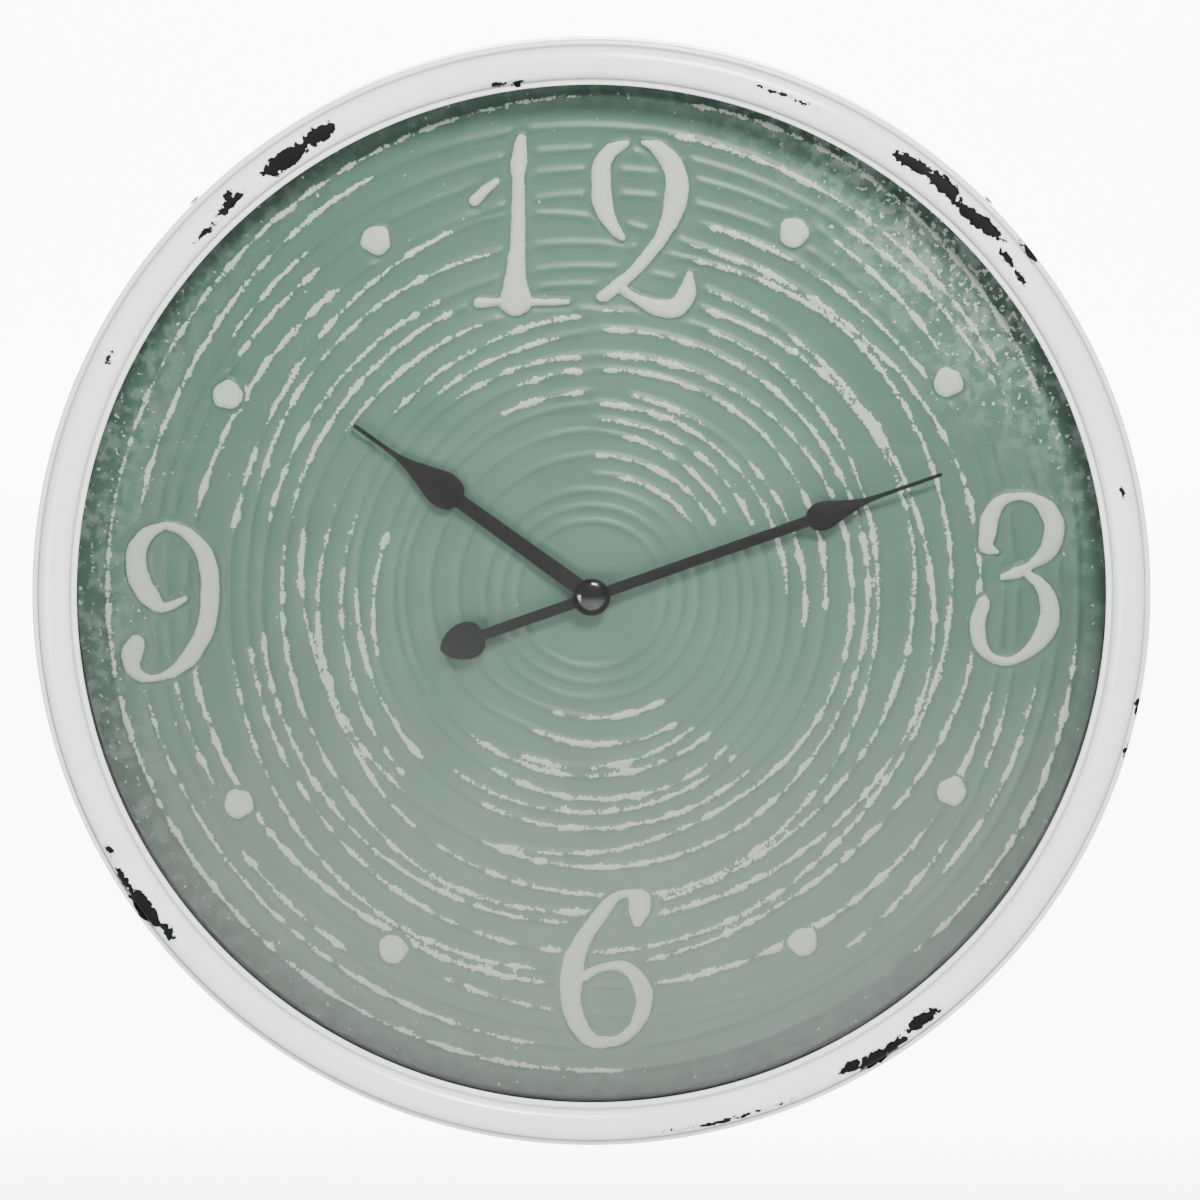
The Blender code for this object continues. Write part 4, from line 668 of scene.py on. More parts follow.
RIDGES = (
    Ridge(
        knots=(
            (0, 269), (30, 270.5), (60, 264.5), (90, 262.5), (120, 266.5), (150, 262.5), (180, 263.5),
            (210, 262), (240, 261), (270, 261.5), (300, 262), (330, 264.5),
        ),
        rubbed=((10, 66), (95, 140), (175, 360)),
    ),
    Ridge(
        knots=(
            (0, 252), (30, 250.5), (60, 251), (90, 252.5), (120, 252.5), (150, 248.5), (180, 251),
            (210, 247), (240, 246), (270, 248), (300, 247), (330, 254.5),
        ),
        rubbed=((8, 62), (186, 262), (280, 335)),
    ),
    Ridge(
        knots=(
            (0, 240), (30, 240), (60, 245), (90, 245), (120, 246), (150, 243), (180, 241), (210, 237.5),
            (240, 236.5), (270, 237.5), (300, 237.5), (330, 241),
        ),
        rubbed=((33, 66), (100, 130), (213, 235), (305, 322)),
    ),
    Ridge(
        knots=(
            (0, 229), (30, 232), (60, 228), (90, 229), (120, 235), (150, 240), (180, 231.5), (210, 224),
            (240, 230), (270, 230), (300, 229), (330, 229),
        ),
        rubbed=((33, 57), (103, 115), (123, 146), (183, 203), (242, 262), (303, 323)),
    ),
    Ridge(
        knots=(
            (0, 216), (30, 220), (60, 218), (90, 222.5), (120, 223.5), (150, 220), (180, 216),
            (210, 215.5), (240, 219), (270, 219), (300, 215), (330, 213.5),
        ),
        rubbed=((103, 118), (124, 172), (186, 262), (281, 323)), wide=0.5,
    ),
    Ridge(
        knots=(
            (16, 208), (30, 210.5), (45, 212), (60, 216),
        ),
        rubbed=((16, 60),), closed=False,
    ),
    Ridge(
        knots=(
            (15, 195.5), (30, 198), (45, 201), (60, 207), (75, 210.5), (90, 210), (105, 208),
            (120, 203.5), (135, 200), (150, 199), (165, 202.5), (180, 206), (195, 210.5), (210, 211),
            (225, 207.5), (240, 202.5), (255, 197.5), (270, 196), (285, 196), (300, 197.5), (315, 202),
            (330, 207.5), (345, 211.5),
        ),
        rubbed=((15, 172), (186, 262), (279, 340)),
    ),
    Ridge(
        knots=(
            (15, 187.5), (30, 193.5), (45, 198.5), (60, 197), (75, 195.5), (90, 194.5), (105, 192),
            (120, 190), (135, 190), (150, 193.5), (165, 196), (180, 197.5), (195, 197), (210, 195),
            (225, 192), (240, 189.5), (255, 187.5), (270, 186), (285, 187.5), (300, 191), (315, 193.5),
            (330, 194),
        ),
        rubbed=((15, 190), (190, 262), (286, 345)),
    ),
    Ridge(
        knots=(
            (0, 177), (20, 176), (45, 176.5), (60, 178), (75, 180.5), (90, 184.5), (105, 188.5),
            (120, 186), (135, 182.5), (150, 180.5), (170, 179.5), (195, 182.5), (210, 183), (225, 183.5),
            (240, 181.5), (255, 179.5), (270, 178), (300, 178.5), (330, 179),
        ),
        rubbed=((20, 170), (183, 265), (281, 335)),
    ),
    Ridge(
        knots=(
            (0, 167.5), (20, 165), (30, 168), (45, 172), (60, 175.5), (75, 176), (90, 174.5), (105, 173),
            (120, 171), (135, 170), (150, 170), (165, 172), (180, 175), (195, 177), (210, 178),
            (225, 173), (240, 169.5), (255, 168), (270, 167), (300, 168.5), (330, 170.5),
        ),
        rubbed=((20, 168), (178, 280), (284, 335)),
    ),
    Ridge(
        knots=(
            (0, 153.5), (20, 156), (40, 159), (60, 157.5), (80, 155), (95, 155), (110, 157), (125, 161),
            (140, 165), (155, 168.5), (165, 169.5), (180, 165), (195, 163.5), (210, 161.5), (225, 158),
            (240, 152.5), (255, 152), (270, 156.5), (285, 159.5), (315, 158.5), (340, 158),
        ),
        rubbed=((0, 8), (22, 170), (175, 285), (302, 340)),
    ),
    Ridge(
        knots=(
            (0, 143.5), (20, 146), (45, 148.5), (80, 149.5), (110, 149.5), (125, 149), (145, 151),
            (170, 151), (190, 149), (210, 147.5), (225, 148.5), (240, 150.5), (255, 150), (270, 148),
            (285, 145.5), (300, 145), (315, 144.5), (330, 146), (345, 148.5), (360, 151.5),
        ),
        rubbed=((0, 205), (222, 288), (312, 360)), closed=False,
    ),
    Ridge(
        knots=(
            (0, 129.5), (15, 131.5), (30, 134), (50, 138), (65, 140.5), (105, 141), (130, 139.5),
            (145, 137), (165, 138), (180, 142.5), (200, 146),
        ),
        rubbed=((0, 205),), closed=False,
    ),
    Ridge(
        knots=(
            (222, 142.5), (240, 139.5), (260, 136), (288, 133.5), (322, 136.5), (340, 138), (355, 140.5),
            (360, 143.5),
        ),
        rubbed=((222, 290), (322, 355)), closed=False,
    ),
    Ridge(
        knots=(
            (0, 122), (20, 124), (45, 127), (95, 126.5), (120, 128), (137, 129), (185, 128.5),
            (208, 129.5), (224, 128.5), (245, 127.5), (270, 127), (300, 128), (325, 128.5), (360, 129.5),
        ),
        rubbed=((0, 95), (137, 208), (224, 272), (325, 360)), closed=False,
    ),
    Ridge(
        knots=(
            (10, 110), (30, 110), (50, 111), (65, 113), (85, 115), (105, 116.5), (140, 117.5),
            (160, 119), (190, 120), (215, 122), (252, 121), (270, 117.5), (288, 114.5), (315, 117),
            (338, 120), (360, 121.5),
        ),
        rubbed=((10, 34), (48, 100), (137, 220), (252, 288), (338, 360)), closed=False,
    ),
    Ridge(
        knots=(
            (0, 103.5), (40, 104), (70, 105), (92, 105.5), (115, 108), (137, 111), (155, 113.5),
            (180, 112.5), (210, 109.5), (240, 108), (270, 107), (300, 107), (333, 109), (360, 110),
        ),
        rubbed=((0, 92), (137, 212), (333, 360)), closed=False,
    ),
    Ridge(
        knots=(
            (0, 95), (35, 95), (68, 94.5), (100, 96), (140, 99.5), (170, 99.5), (200, 100), (222, 101),
            (250, 101.5), (300, 101), (335, 102), (360, 103),
        ),
        rubbed=((0, 68), (137, 222)), closed=False,
    ),
    Ridge(
        knots=(
            (0, 89), (10, 87.5), (40, 86), (60, 84.5), (100, 87.5), (141, 91), (160, 93), (180, 95),
            (205, 96),
        ),
        rubbed=((10, 60), (141, 205)), closed=False,
    ),
    Ridge(
        knots=(
            (0, 75.5), (30, 76.5), (62, 76.5), (100, 80), (145, 84.5), (170, 83), (205, 80), (240, 86),
            (270, 87.5), (300, 88), (330, 88.5), (360, 89),
        ),
        rubbed=((0, 62), (145, 207)), closed=False,
    ),
    Ridge(
        knots=(
            (0, 65), (25, 66), (55, 67), (100, 68.5), (146, 70), (170, 68), (200, 67), (240, 71),
            (300, 73.5), (360, 75.5),
        ),
        rubbed=((8, 55), (145, 200)), closed=False,
    ),
    Ridge(
        knots=(
            (0, 56.5), (90, 57.5), (180, 57), (270, 58),
        ),
    ),
    Ridge(
        knots=(
            (0, 48), (90, 49), (180, 48.5), (270, 49),
        ),
    ),
    Ridge(
        knots=(
            (0, 40), (90, 40.5), (180, 40), (270, 40.5),
        ),
    ),
)

# Each stroke is a row of (x, z, half its width) in millimetres from the centre of the dial.
TWELVE = (
    (
        (-51, 223, 1.1), (-57, 218, 2.2), (-62.5, 213, 2.4),
    ),
    (
        (-37.5, 246, 2.0), (-39, 233, 4.2), (-39, 224, 2.6), (-39, 210, 3.0), (-39.5, 191, 3.5),
        (-40.5, 174.5, 4.8), (-40.5, 164.5, 6.6), (-40.5, 159.7, 8.3),
    ),
    (
        (-60.3, 158, 2.4), (-50.4, 158.6, 1.5), (-40.7, 159, 1.8), (-28.4, 158.3, 1.5),
        (-13, 158.5, 1.1),
    ),
    (
        (18.5, 243.5, 1.3), (10.7, 239.6, 3.3), (5.8, 232, 4.4), (5.2, 223, 4.6), (5.8, 213, 5),
        (8.5, 204.3, 3.9), (12.4, 197.7, 2.6), (16.3, 192.8, 1.1),
    ),
    (
        (27.8, 244, 1.1), (35.5, 240.7, 3.5), (43.3, 232, 5), (45.7, 221, 5.7), (44.4, 210, 5.5),
        (39.4, 196.6, 3.5), (31, 184.5, 2.9), (22.3, 174.6, 2.6), (14.6, 168, 3.1), (6.9, 162, 2.8),
        (4, 161, 1.1),
    ),
    (
        (15.7, 166.3, 1.8), (24.5, 160, 2.2), (35.5, 155.3, 3.9), (45.5, 155.8, 5), (51.5, 163.6, 4.4),
        (52.6, 173.5, 1.5),
    ),
)
THREE = (
    (
        (219, 23.3, 0.9), (213, 26.3, 3.4), (213.7, 34, 4.4), (215, 43, 4.2), (221.3, 51, 2.7),
        (231.2, 53.6, 1.4), (240.3, 51.3, 2.9), (247, 44.5, 4.7), (249.7, 35.4, 5.3), (247, 24.8, 4.5),
        (241, 18.7, 2.7), (235.7, 15.3, 1.7), (229.7, 12, 2.9), (222, 9.6, 1.5),
    ),
    (
        (235.7, 11, 1.9), (243.3, 4.3, 3.4), (247.5, -5.5, 4.5), (247, -15.4, 5.3), (242.5, -25.2, 4.2),
        (234.2, -32.8, 2.7), (225, -36.6, 1.9), (217.5, -35, 1.7), (212.2, -30.6, 2.9),
        (209.2, -23, 3.6), (208.8, -14.6, 3.8), (211.5, -7, 3.4), (212.2, -3.3, 1.9),
    ),
)
SIX = (
    (
        (25.2, -180.6, 2.2), (26.3, -173.4, 5.6), (26, -168.3, 5.4), (20.8, -165, 2), (14.3, -165.8, 2),
        (9.3, -170.5, 2.9), (4.2, -177.7, 3.6), (-1.6, -185, 3.8), (-6, -193, 4.2), (-9.5, -202.3, 5.2),
        (-11, -211.7, 5.8), (-11.3, -221, 5.2), (-10.3, -229.7, 4.7), (-6.6, -239, 4.5),
        (0, -246.4, 3.6), (7.8, -247.5, 3), (15, -246.4, 2.5), (21.6, -241.3, 2.7), (26.6, -234, 3.6),
        (28.8, -224.7, 4.2), (27.3, -216, 4.2), (23, -209.5, 3.3), (17.2, -205.2, 2.7),
        (10, -205.2, 1.8), (2, -207.3, 1.6), (-3.7, -211, 2.2),
    ),
)
NINE = (
    (
        (-229.8, 37.7, 1.6), (-238.5, 33.7, 3.3), (-245, 25.7, 4.7), (-246, 16.3, 5.1),
        (-244.2, 7.7, 5.4), (-239.2, -1, 5.1), (-233.4, -6.8, 2.5), (-227, -6, 2), (-219.7, -2.5, 1.3),
    ),
    (
        (-229.8, 37.7, 1.6), (-221, 35, 2.3), (-214, 29.3, 3.3), (-208.8, 22, 4.3), (-206.6, 13.4, 4.7),
        (-206, 3.3, 4.7), (-206.6, -8.3, 4.5), (-208.8, -18.4, 4.5), (-213.2, -27.8, 4.3),
        (-218.2, -35, 4), (-224, -40.8, 2.7), (-231.2, -44.4, 1.8), (-239.2, -46.2, 1.4),
        (-245, -44.4, 2.7), (-248.6, -39.3, 4), (-248.6, -32, 5.4), (-246.4, -27, 4.3),
    ),
)
DOT_HOURS = (1, 2, 4, 5, 7, 8, 10, 11)


@dataclass(frozen=True)
class Relief:
    """The height of the dial's embossing, and where its cream paint lies, at any point of the sheet.

    Attributes:
        ridge_height: How far the wavy ridges stand up, in millimetres.
        ridge_width: Half the width of a ridge, halfway up.
        numeral_height: How far the numerals and dots stand up.
        numeral_slope: How wide the rise to their full height is.
        dot_radius: The radius of an hour dot.
        dot_circle: The radius of the circle that the dots stand on.
        dot_slip: How many degrees the dots stand anticlockwise of their hours.
        calm_radius: The flat middle's radius.
        reach: How far round a numeral the relief looks for it.
    """

    ridge_height: float = 1.5
    ridge_width: float = 2.7
    numeral_height: float = 2.3
    numeral_slope: float = 4.0
    dot_radius: float = 7.4
    dot_circle: float = 223.6
    dot_slip: float = 1.0
    calm_radius: float = 36.0
    reach: float = 9.0

    def marks(self, x: np.ndarray, z: np.ndarray) -> np.ndarray:
        """Measures the distance to the numerals and dots.

        Args:
            x: Each point's X, in millimetres.
            z: Each point's Z.

        Returns:
            How far each point lies outside the nearest one, in millimetres, negative inside it.
        """
        outside = np.full(x.shape, 40.0)
        for hour in DOT_HOURS:
            turn = math.radians(hour * 30 - self.dot_slip)
            dx, dz = x - self.dot_circle * math.sin(turn), z - self.dot_circle * math.cos(turn)
            around = np.arctan2(dz, dx)
            edge = self.dot_radius + 0.35 * np.sin(3 * around + hour) + 0.25 * np.sin(5 * around + 2 * hour)
            outside = np.minimum(outside, np.hypot(dx, dz) - edge)
        for stroke in (*TWELVE, *THREE, *SIX, *NINE):
            points = flowing_stroke(stroke)
            for (ax, az, aw), (bx, bz, bw) in zip(points, points[1:]):
                near = np.nonzero(
                    (np.abs(x - (ax + bx) / 2) < self.reach + abs(bx - ax) / 2 + aw)
                    & (np.abs(z - (az + bz) / 2) < self.reach + abs(bz - az) / 2 + aw)
                )
                length = (bx - ax) ** 2 + (bz - az) ** 2
                share = np.clip(((x[near] - ax) * (bx - ax) + (z[near] - az) * (bz - az)) / length, 0, 1)
                away = np.hypot(x[near] - ax - share * (bx - ax), z[near] - az - share * (bz - az))
                outside[near] = np.minimum(outside[near], away - aw - share * (bw - aw))
        return outside

    def measure(self, radii: np.ndarray, degrees: np.ndarray) -> tuple[np.ndarray, np.ndarray]:
        """Measures the relief over a ring.

        Args:
            radii: The ring's radii, in millimetres.
            degrees: The angles round it, clockwise from twelve.

        Returns:
            The height, and how far inside the cream paint each point lies, both in millimetres.
        """
        radius = radii[:, None]
        level = np.ones((len(radii), len(degrees)))
        paint = np.zeros_like(level)
        for ridge in RIDGES:
            for turn in (0,) if ridge.closed else (-360, 0, 360):
                stands = ridge.strength_at(degrees + turn)
                if not stands.any():
                    continue
                away = np.abs(radius - ridge.radius_at(degrees + turn))
                level *= 1 - stands * (1 + (away / self.ridge_width) ** 2) ** -1.5
                rub = ridge.rub_at(degrees + turn) * stands
                paint += np.exp(((0.9 + ridge.wide) * rub - 4.5 * (1 - rub) - away) / 1.1)
        turns = np.radians(degrees)
        outside = self.marks(radius * np.sin(turns), radius * np.cos(turns))
        height = self.ridge_height * (1 - level) * smoothstep(1.0, 7.0, outside)
        height *= smoothstep(self.calm_radius - 6, self.calm_radius, radius)
        rise = np.clip((1.2 - outside) / self.numeral_slope, 0, 1)
        height = np.maximum(height, self.numeral_height * (1 - (1 - rise) ** 2) ** 0.8)
        crest = np.minimum(1.1 * np.log(paint + 1e-9), (outside - 3.0) * 2)
        return height, np.maximum(crest, (0.4 - outside) * 3)


def flowing_stroke(stroke: Stroke) -> np.ndarray:
    """Draws a numeral's stroke more finely.

    Args:
        stroke: The stroke's points and half widths.

    Returns:
        Rows of (x, z, half width), four for each step of the stroke.
    """
    way = [tuple(point) for point in flowing([(x, z) for x, z, _ in stroke], 4)]
    half = np.interp(np.arange(len(way)) / 4, np.arange(len(stroke)), [w for _, _, w in stroke])
    return np.array([(x, z, w) for (x, z), w in zip(way, half)])


# The grey primer that is baked on the back of the dial's sheet
BACK_PRIMER = Coating("grey primer, baked on the back of the dial", "8b8d8b", "797b79", 0.6, 20.0, 0.01)


@dataclass
class Dial:
    """The embossed tinplate dial: painted rings in front, and the primed back of the same sheet.

    Attributes:
        front: The flat sheet's front, in Y.
        back: The flat sheet's back, in Y.
        bore: The radius of its hole for the bush.
        edge: Its outer radius.
        relief: The embossing.
        worn_places: Where the paint is most speckled, as (degrees, spread in degrees, strength).
    """

    front: float
    back: float
    bore: float
    edge: float
    relief: Relief = Relief()
    worn_places: tuple[tuple[float, float, float], ...] = ((50.0, 28.0, 0.13), (275.0, 40.0, 0.0585))

    def speckle(self, radius: np.ndarray, turn: np.ndarray) -> np.ndarray:
        """Measures how speckled the paint is.

        Args:
            radius: Each point's distance from the centre, in millimetres.
            turn: Its angle, in degrees clockwise from twelve.

        Returns:
            How much is added to the noise that makes the specks.
        """
        places = [
            strength * np.exp(-((turn - middle) / spread) ** 2)
            for middle, spread, strength in self.worn_places
        ]
        worn = np.max(places, axis=0) * smoothstep(170, 262, radius)
        return worn + 0.05 * smoothstep(240, 275, radius)

    def emboss(
        self, made: bpy.types.Object, radii: np.ndarray, steps: int, levels: tuple[float, ...], toward: float,
    ) -> None:
        """Raises one side of a ring by the relief, and notes its paint, specks and normals.

        Args:
            made: The ring.
            radii: The radii of its rows of vertices, in millimetres.
            steps: How many vertices go round it.
            levels: Where its raised sides lie in Y while they are flat.
            toward: -1 for a side that faces the front, 1 for one that faces the back.
        """
        data = made.data
        place = np.empty(len(data.vertices) * 3, np.float32)
        data.vertices.foreach_get("co", place)
        place = place.reshape(-1, 3).astype(float)
        x, z = place[:, 0] / MM, place[:, 2] / MM
        radius, turn = np.hypot(x, z), np.degrees(np.arctan2(x, z)) % 360
        pitch = radii[1] - radii[0]
        rows = np.concatenate(([radii[0] - pitch], radii, [radii[-1] + pitch]))
        degrees = np.arange(steps) * 360 / steps
        height, paint = self.relief.measure(rows, degrees)
        outward = np.gradient(height, pitch, axis=0)
        arc = np.radians(360 / steps) * rows[:, None]
        round_it = (np.roll(height, -1, axis=1) - np.roll(height, 1, axis=1)) / (2 * arc)
        row = np.clip(np.rint((radius - rows[0]) / pitch).astype(int), 0, len(rows) - 1)
        column = np.rint(turn * steps / 360).astype(int) % steps
        on_side = np.min([np.abs(place[:, 1] / MM - level) for level in levels], axis=0) < 0.01
        place[on_side, 1] -= height[row, column][on_side] * MM
        data.vertices.foreach_set("co", place.astype(np.float32).ravel())
        angle = np.radians(turn)
        slope, drift = outward[row, column], round_it[row, column]
        normals = np.stack([
            slope * np.sin(angle) + drift * np.cos(angle), np.ones_like(x),
            slope * np.cos(angle) - drift * np.sin(angle),
        ], axis=1) * toward
        normals /= np.linalg.norm(normals, axis=1)[:, None]
        note_values(data, "paint", paint[row, column])
        note_values(data, "speckle", self.speckle(radius, turn))
        data.normals_split_custom_set_from_vertices(normals.tolist())

    def build(self) -> None:
        """Makes the painted rings and the primed back."""
        painted = DialPaint().build()
        rings = (
            ("dial_ring_inner", self.bore, 100.0, 0.95, 480),
            ("dial_ring_middle", 100.0, 165.0, 0.95, 720),
            ("dial_ring_numerals", 165.0, 232.0, 0.9, 960),
            ("dial_ring_outer", 232.0, self.edge, 0.95, 1080),
        )
        for name, inner, outer, pitch, steps in rings:
            radii = np.linspace(inner, outer, round((outer - inner) / pitch) + 1)
            line = [(radius, self.front) for radius in radii]
            line += [(outer, self.front + 0.3), (inner, self.front + 0.3)]
            made = self.ring(name, line, steps, painted)
            self.emboss(made, radii, steps, (self.front,), -1.0)
        primer = BACK_PRIMER.build()
        sheet = 0.1
        for name, inner, outer, steps in (
            ("dial_back_inner", self.bore, 165.0, 480),
            ("dial_back_outer", 165.0, self.edge, 720),
        ):
            radii = np.linspace(inner, outer, round((outer - inner) / 2.0) + 1)
            line = [(radius, self.back) for radius in radii]
            line += [(radius, self.back - sheet) for radius in radii[::-1]]
            made = self.ring(name, line, steps, primer)
            self.emboss(made, radii, steps, (self.back, self.back - sheet), 1.0)

    def ring(self, name: str, line: Profile, steps: int, material: bpy.types.Material) -> bpy.types.Object:
        """Makes one flat ring of the dial, smooth all over, on the case."""
        return Piece(name).wrap(line, steps).finish(material, Body.CASE, "green_dial", ("dial_plate",), 180)


# ---------------------------------------------------------------- the case

@dataclass(frozen=True)
class Chip:
    """One place where the white enamel has come off.

    Attributes:
        degrees: Where its middle is, clockwise from twelve.
        radius: How far its middle is from the clock's centre, in millimetres.
        along: Half its length round the rim.
        across: Half its width.
        lean: How many millimetres its middle line drifts outward from end to end.
    """

    degrees: float
    radius: float
    along: float
    across: float
    lean: float = 0.0


CHIPS = (
    Chip(36.0, 290.0, 9.0, 2.8, 2.0), Chip(40.0, 291.0, 9.0, 3.4), Chip(45.0, 289.5, 12.0, 3.2, 3.0),
    Chip(50.0, 287.5, 4.5, 1.7), Chip(52.6, 286.5, 3.2, 1.3), Chip(51.0, 298.5, 5.0, 1.6),
    Chip(101.0, 299.0, 3.0, 1.2), Chip(106.0, 299.0, 2.6, 1.1), Chip(142.0, 290.5, 8.0, 3.0),
    Chip(146.0, 293.0, 7.0, 2.4), Chip(148.5, 294.0, 8.0, 3.6), Chip(151.0, 291.0, 5.5, 2.6),
    Chip(166.0, 293.8, 15.0, 0.75), Chip(232.0, 291.0, 5.0, 2.0), Chip(235.4, 293.5, 9.5, 4.2),
    Chip(239.0, 294.5, 5.0, 2.2), Chip(242.5, 293.0, 3.0, 1.4), Chip(314.5, 285.0, 6.0, 1.2),
    Chip(318.2, 286.5, 7.0, 2.0), Chip(318.6, 289.0, 2.0, 3.6), Chip(325.6, 287.0, 11.0, 4.2),
    Chip(330.0, 288.5, 7.5, 3.8), Chip(350.0, 281.0, 3.2, 1.5), Chip(352.0, 279.5, 2.6, 1.2),
    Chip(21.0, 289.4, 8.0, 0.65), Chip(78.0, 290.0, 2.0, 1.0), Chip(297.0, 288.0, 2.4, 1.0),
)


@dataclass
class Rim:
    """The pressed and enamelled front ring: a thin lip, a round bead, a crease, a shoulder and a long skirt.

    Attributes:
        opening: The radius of its opening.
        bead_inner: Where the bead starts.
        bead_outer: Where it ends, at the crease.
        sheet: How thick the steel is.
        lip: Where the lip's front lies in Y.
        steps: How many steps make the full turn.
        fullness: Below 1 the bead is fuller than a half circle.
        unmarked: How far inside a chip a point without any chip counts as lying.
    """

    opening: float = 276.0
    bead_inner: float = 279.6
    bead_outer: float = 296.5
    sheet: float = 1.2
    lip: float = -21.5
    steps: int = 1200
    fullness: float = 0.85
    unmarked: float = -20.0

    def bead(self, crest: float, half: float, base: float, start: float, end: float, steps: int) -> Profile:
        """Draws the bead's round line.

        Args:
            crest: How far forward of the lip its middle reaches, in millimetres.
            half: Half its width.
            base: Where its feet lie in Y.
            start: The angle that it starts at, 0 for the inner foot.
            end: The angle that it ends at, in radians.
            steps: How many steps make it.

        Returns:
            The points of the line.
        """
        middle = (self.bead_inner + self.bead_outer) / 2
        angles = [start + (end - start) * step / steps for step in range(steps + 1)]
        return [
            (middle - half * math.cos(angle), base - crest * max(math.sin(angle), 0.0) ** self.fullness)
            for angle in angles
        ]

    def section(self) -> Profile:
        """Draws the ring's closed section.

        Returns:
            Its points, from the lip over the bead to the skirt and back along the inside.
        """
        low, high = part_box("front_bezel")
        outer, crest, end = high.x / MM, self.lip - low.y / MM, high.y / MM
        half = (self.bead_outer - self.bead_inner) / 2
        lip, back, inside = self.lip, self.lip + self.sheet, outer - self.sheet
        line = [(self.opening, back), (self.opening, lip + 0.6), (self.opening + 0.15, lip + 0.2)]
        line += [(self.opening + 0.6, lip), (self.opening + 2.2, lip), (self.bead_inner - 0.3, lip + 0.25)]
        line += self.bead(crest, half, lip, 0.0, math.pi, 22)
        line += [(self.bead_outer + 0.3, lip + 0.35), (self.bead_outer + 0.8, lip - 0.1)]
        line += [(outer - 1.6, lip - 0.1), (outer - 0.6, lip + 0.5), (outer - 0.1, lip + 1.4)]
        line += [(outer, lip + 2.6), (outer, -8.0), (outer, 3.0), (outer, end - 0.4), (outer - 0.3, end)]
        line += [(inside + 0.2, end), (inside, end - 0.4), (inside, 0.0)]
        line += [(inside, back + 2.2), (inside - 0.8, back + 0.7)]
        line += self.bead(crest, half - self.sheet, back, math.pi, 0.0, 14)
        return line

    def chip_depth(self, place: np.ndarray) -> np.ndarray:
        """Measures the distance to the chips.

        Args:
            place: The ring's points, in millimetres.

        Returns:
            How far inside a chip each point lies, in millimetres, negative outside.
        """
        radius = np.hypot(place[:, 0], place[:, 2])
        clockwise = np.degrees(np.arctan2(place[:, 0], place[:, 2])) % 360
        best = np.full_like(radius, self.unmarked)
        for chip in CHIPS:
            along = np.radians((clockwise - chip.degrees + 180) % 360 - 180) * chip.radius
            across = radius - chip.radius - chip.lean * along / chip.along / 2
            away = np.sqrt((along / chip.along / 1.3) ** 2 + (across / chip.across / 1.2) ** 2)
            best = np.maximum(best, (1 - away) * min(chip.across * 1.4, chip.along))
        return np.where(place[:, 1] < -8.0, best, self.unmarked)

    def build(self) -> None:
        """Makes the ring and marks its chips, and the painted shade in its creases and round its opening."""
        piece = Piece("enamelled_bezel").wrap(self.section(), self.steps)
        place = np.array([v.co[:] for v in piece.mesh.verts]) / MM
        radius = np.hypot(place[:, 0], place[:, 2])
        front = place[:, 1] < self.lip + 1.3
        # Painted shade: grey lines along the creases on either side of the bead and round the opening, where
        # shade falls.
        crease_shade = 0.85 * np.exp(-((radius - self.bead_outer - 0.25) / 0.55) ** 2) * front
        crease_shade += 0.75 * np.exp(-((radius - self.bead_inner + 0.2) / 0.5) ** 2) * front
        crease_shade += 0.35 * np.exp(-((radius - self.opening) / 0.5) ** 2)
        enamel = WornEnamel().build()
        made = piece.finish(enamel, Body.CASE, "white_enamel", ("front_bezel",), smooth_below=50)
        note_values(made.data, "chip", self.chip_depth(place))
        note_values(made.data, "crease_shade", crease_shade)


@dataclass
class PlainRing:
    """A turned or rolled ring with softly broken edges, made to its node's box.

    Attributes:
        node: The CAD node that it stands for.
        width: How wide it is along the radius.
        finish: What it is made of.
        slot: The record's material slot.
        corner: How far its corners are rounded.
    """

    node: str
    width: float
    finish: Coating | Metal
    slot: str
    corner: float = 0.25

    def build(self) -> None:
        """Makes the ring."""
        low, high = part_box(self.node)
        outer, front, back = high.x / MM, low.y / MM, high.y / MM
        corners = [(outer, front), (outer, back), (outer - self.width, back), (outer - self.width, front)]
        Piece(f"{self.node}_ring").spin(rounded(corners, self.corner), 480).finish(
            self.finish.build(), Body.CASE, self.slot, (self.node,),
        )


# ---------------------------------------------------------------- the hands

@dataclass
class Hand:
    """A flat stamped hand, drawn upright and then turned to its hour.

    Attributes:
        node: The CAD node that it stands for.
        body: The body that it turns with.
        degrees: Where it points, clockwise from twelve.
        blade: One edge as (half width, distance from the centre), from the hub to the tip.
        tail: The same for the other end, empty when the hand has none.
        hub: The radius of its round middle.
    """

    node: str
    body: Body
    degrees: float
    blade: Profile
    tail: Profile
    hub: float

    def outline(self) -> list[tuple[float, float]]:
        """Draws the hand pointing straight up.

        Returns:
            The whole outline, anticlockwise from the tail.
        """
        bar = self.blade[0][0]
        lean = math.asin(bar / self.hub)
        ring = []
        first = -math.pi / 2 + (lean if self.tail else 0.0)
        for step in range(25):
            angle = first + (math.pi / 2 - lean - first) * step / 24
            ring.append((self.hub * math.cos(angle), self.hub * math.sin(angle)))
        right = [(x, -z) for x, z in reversed(flowing(self.tail, 6))] if self.tail else []
        right += ring + flowing(self.blade, 6)
        left = [(-x, z) for x, z in reversed(right) if x > 0.02]
        return right + left

    def build(self, paint: bpy.types.Material) -> None:
        """Makes the hand."""
        low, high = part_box(self.node)
        front, thickness = low.y / MM, (high.y - low.y) / MM
        piece = Piece(f"{self.node}_stamping").sheet(self.outline(), front, thickness)
        piece.soften(0.1).turn(self.degrees)
        piece.finish(paint, self.body, "charcoal_paint", (self.node,), smooth_below=30)


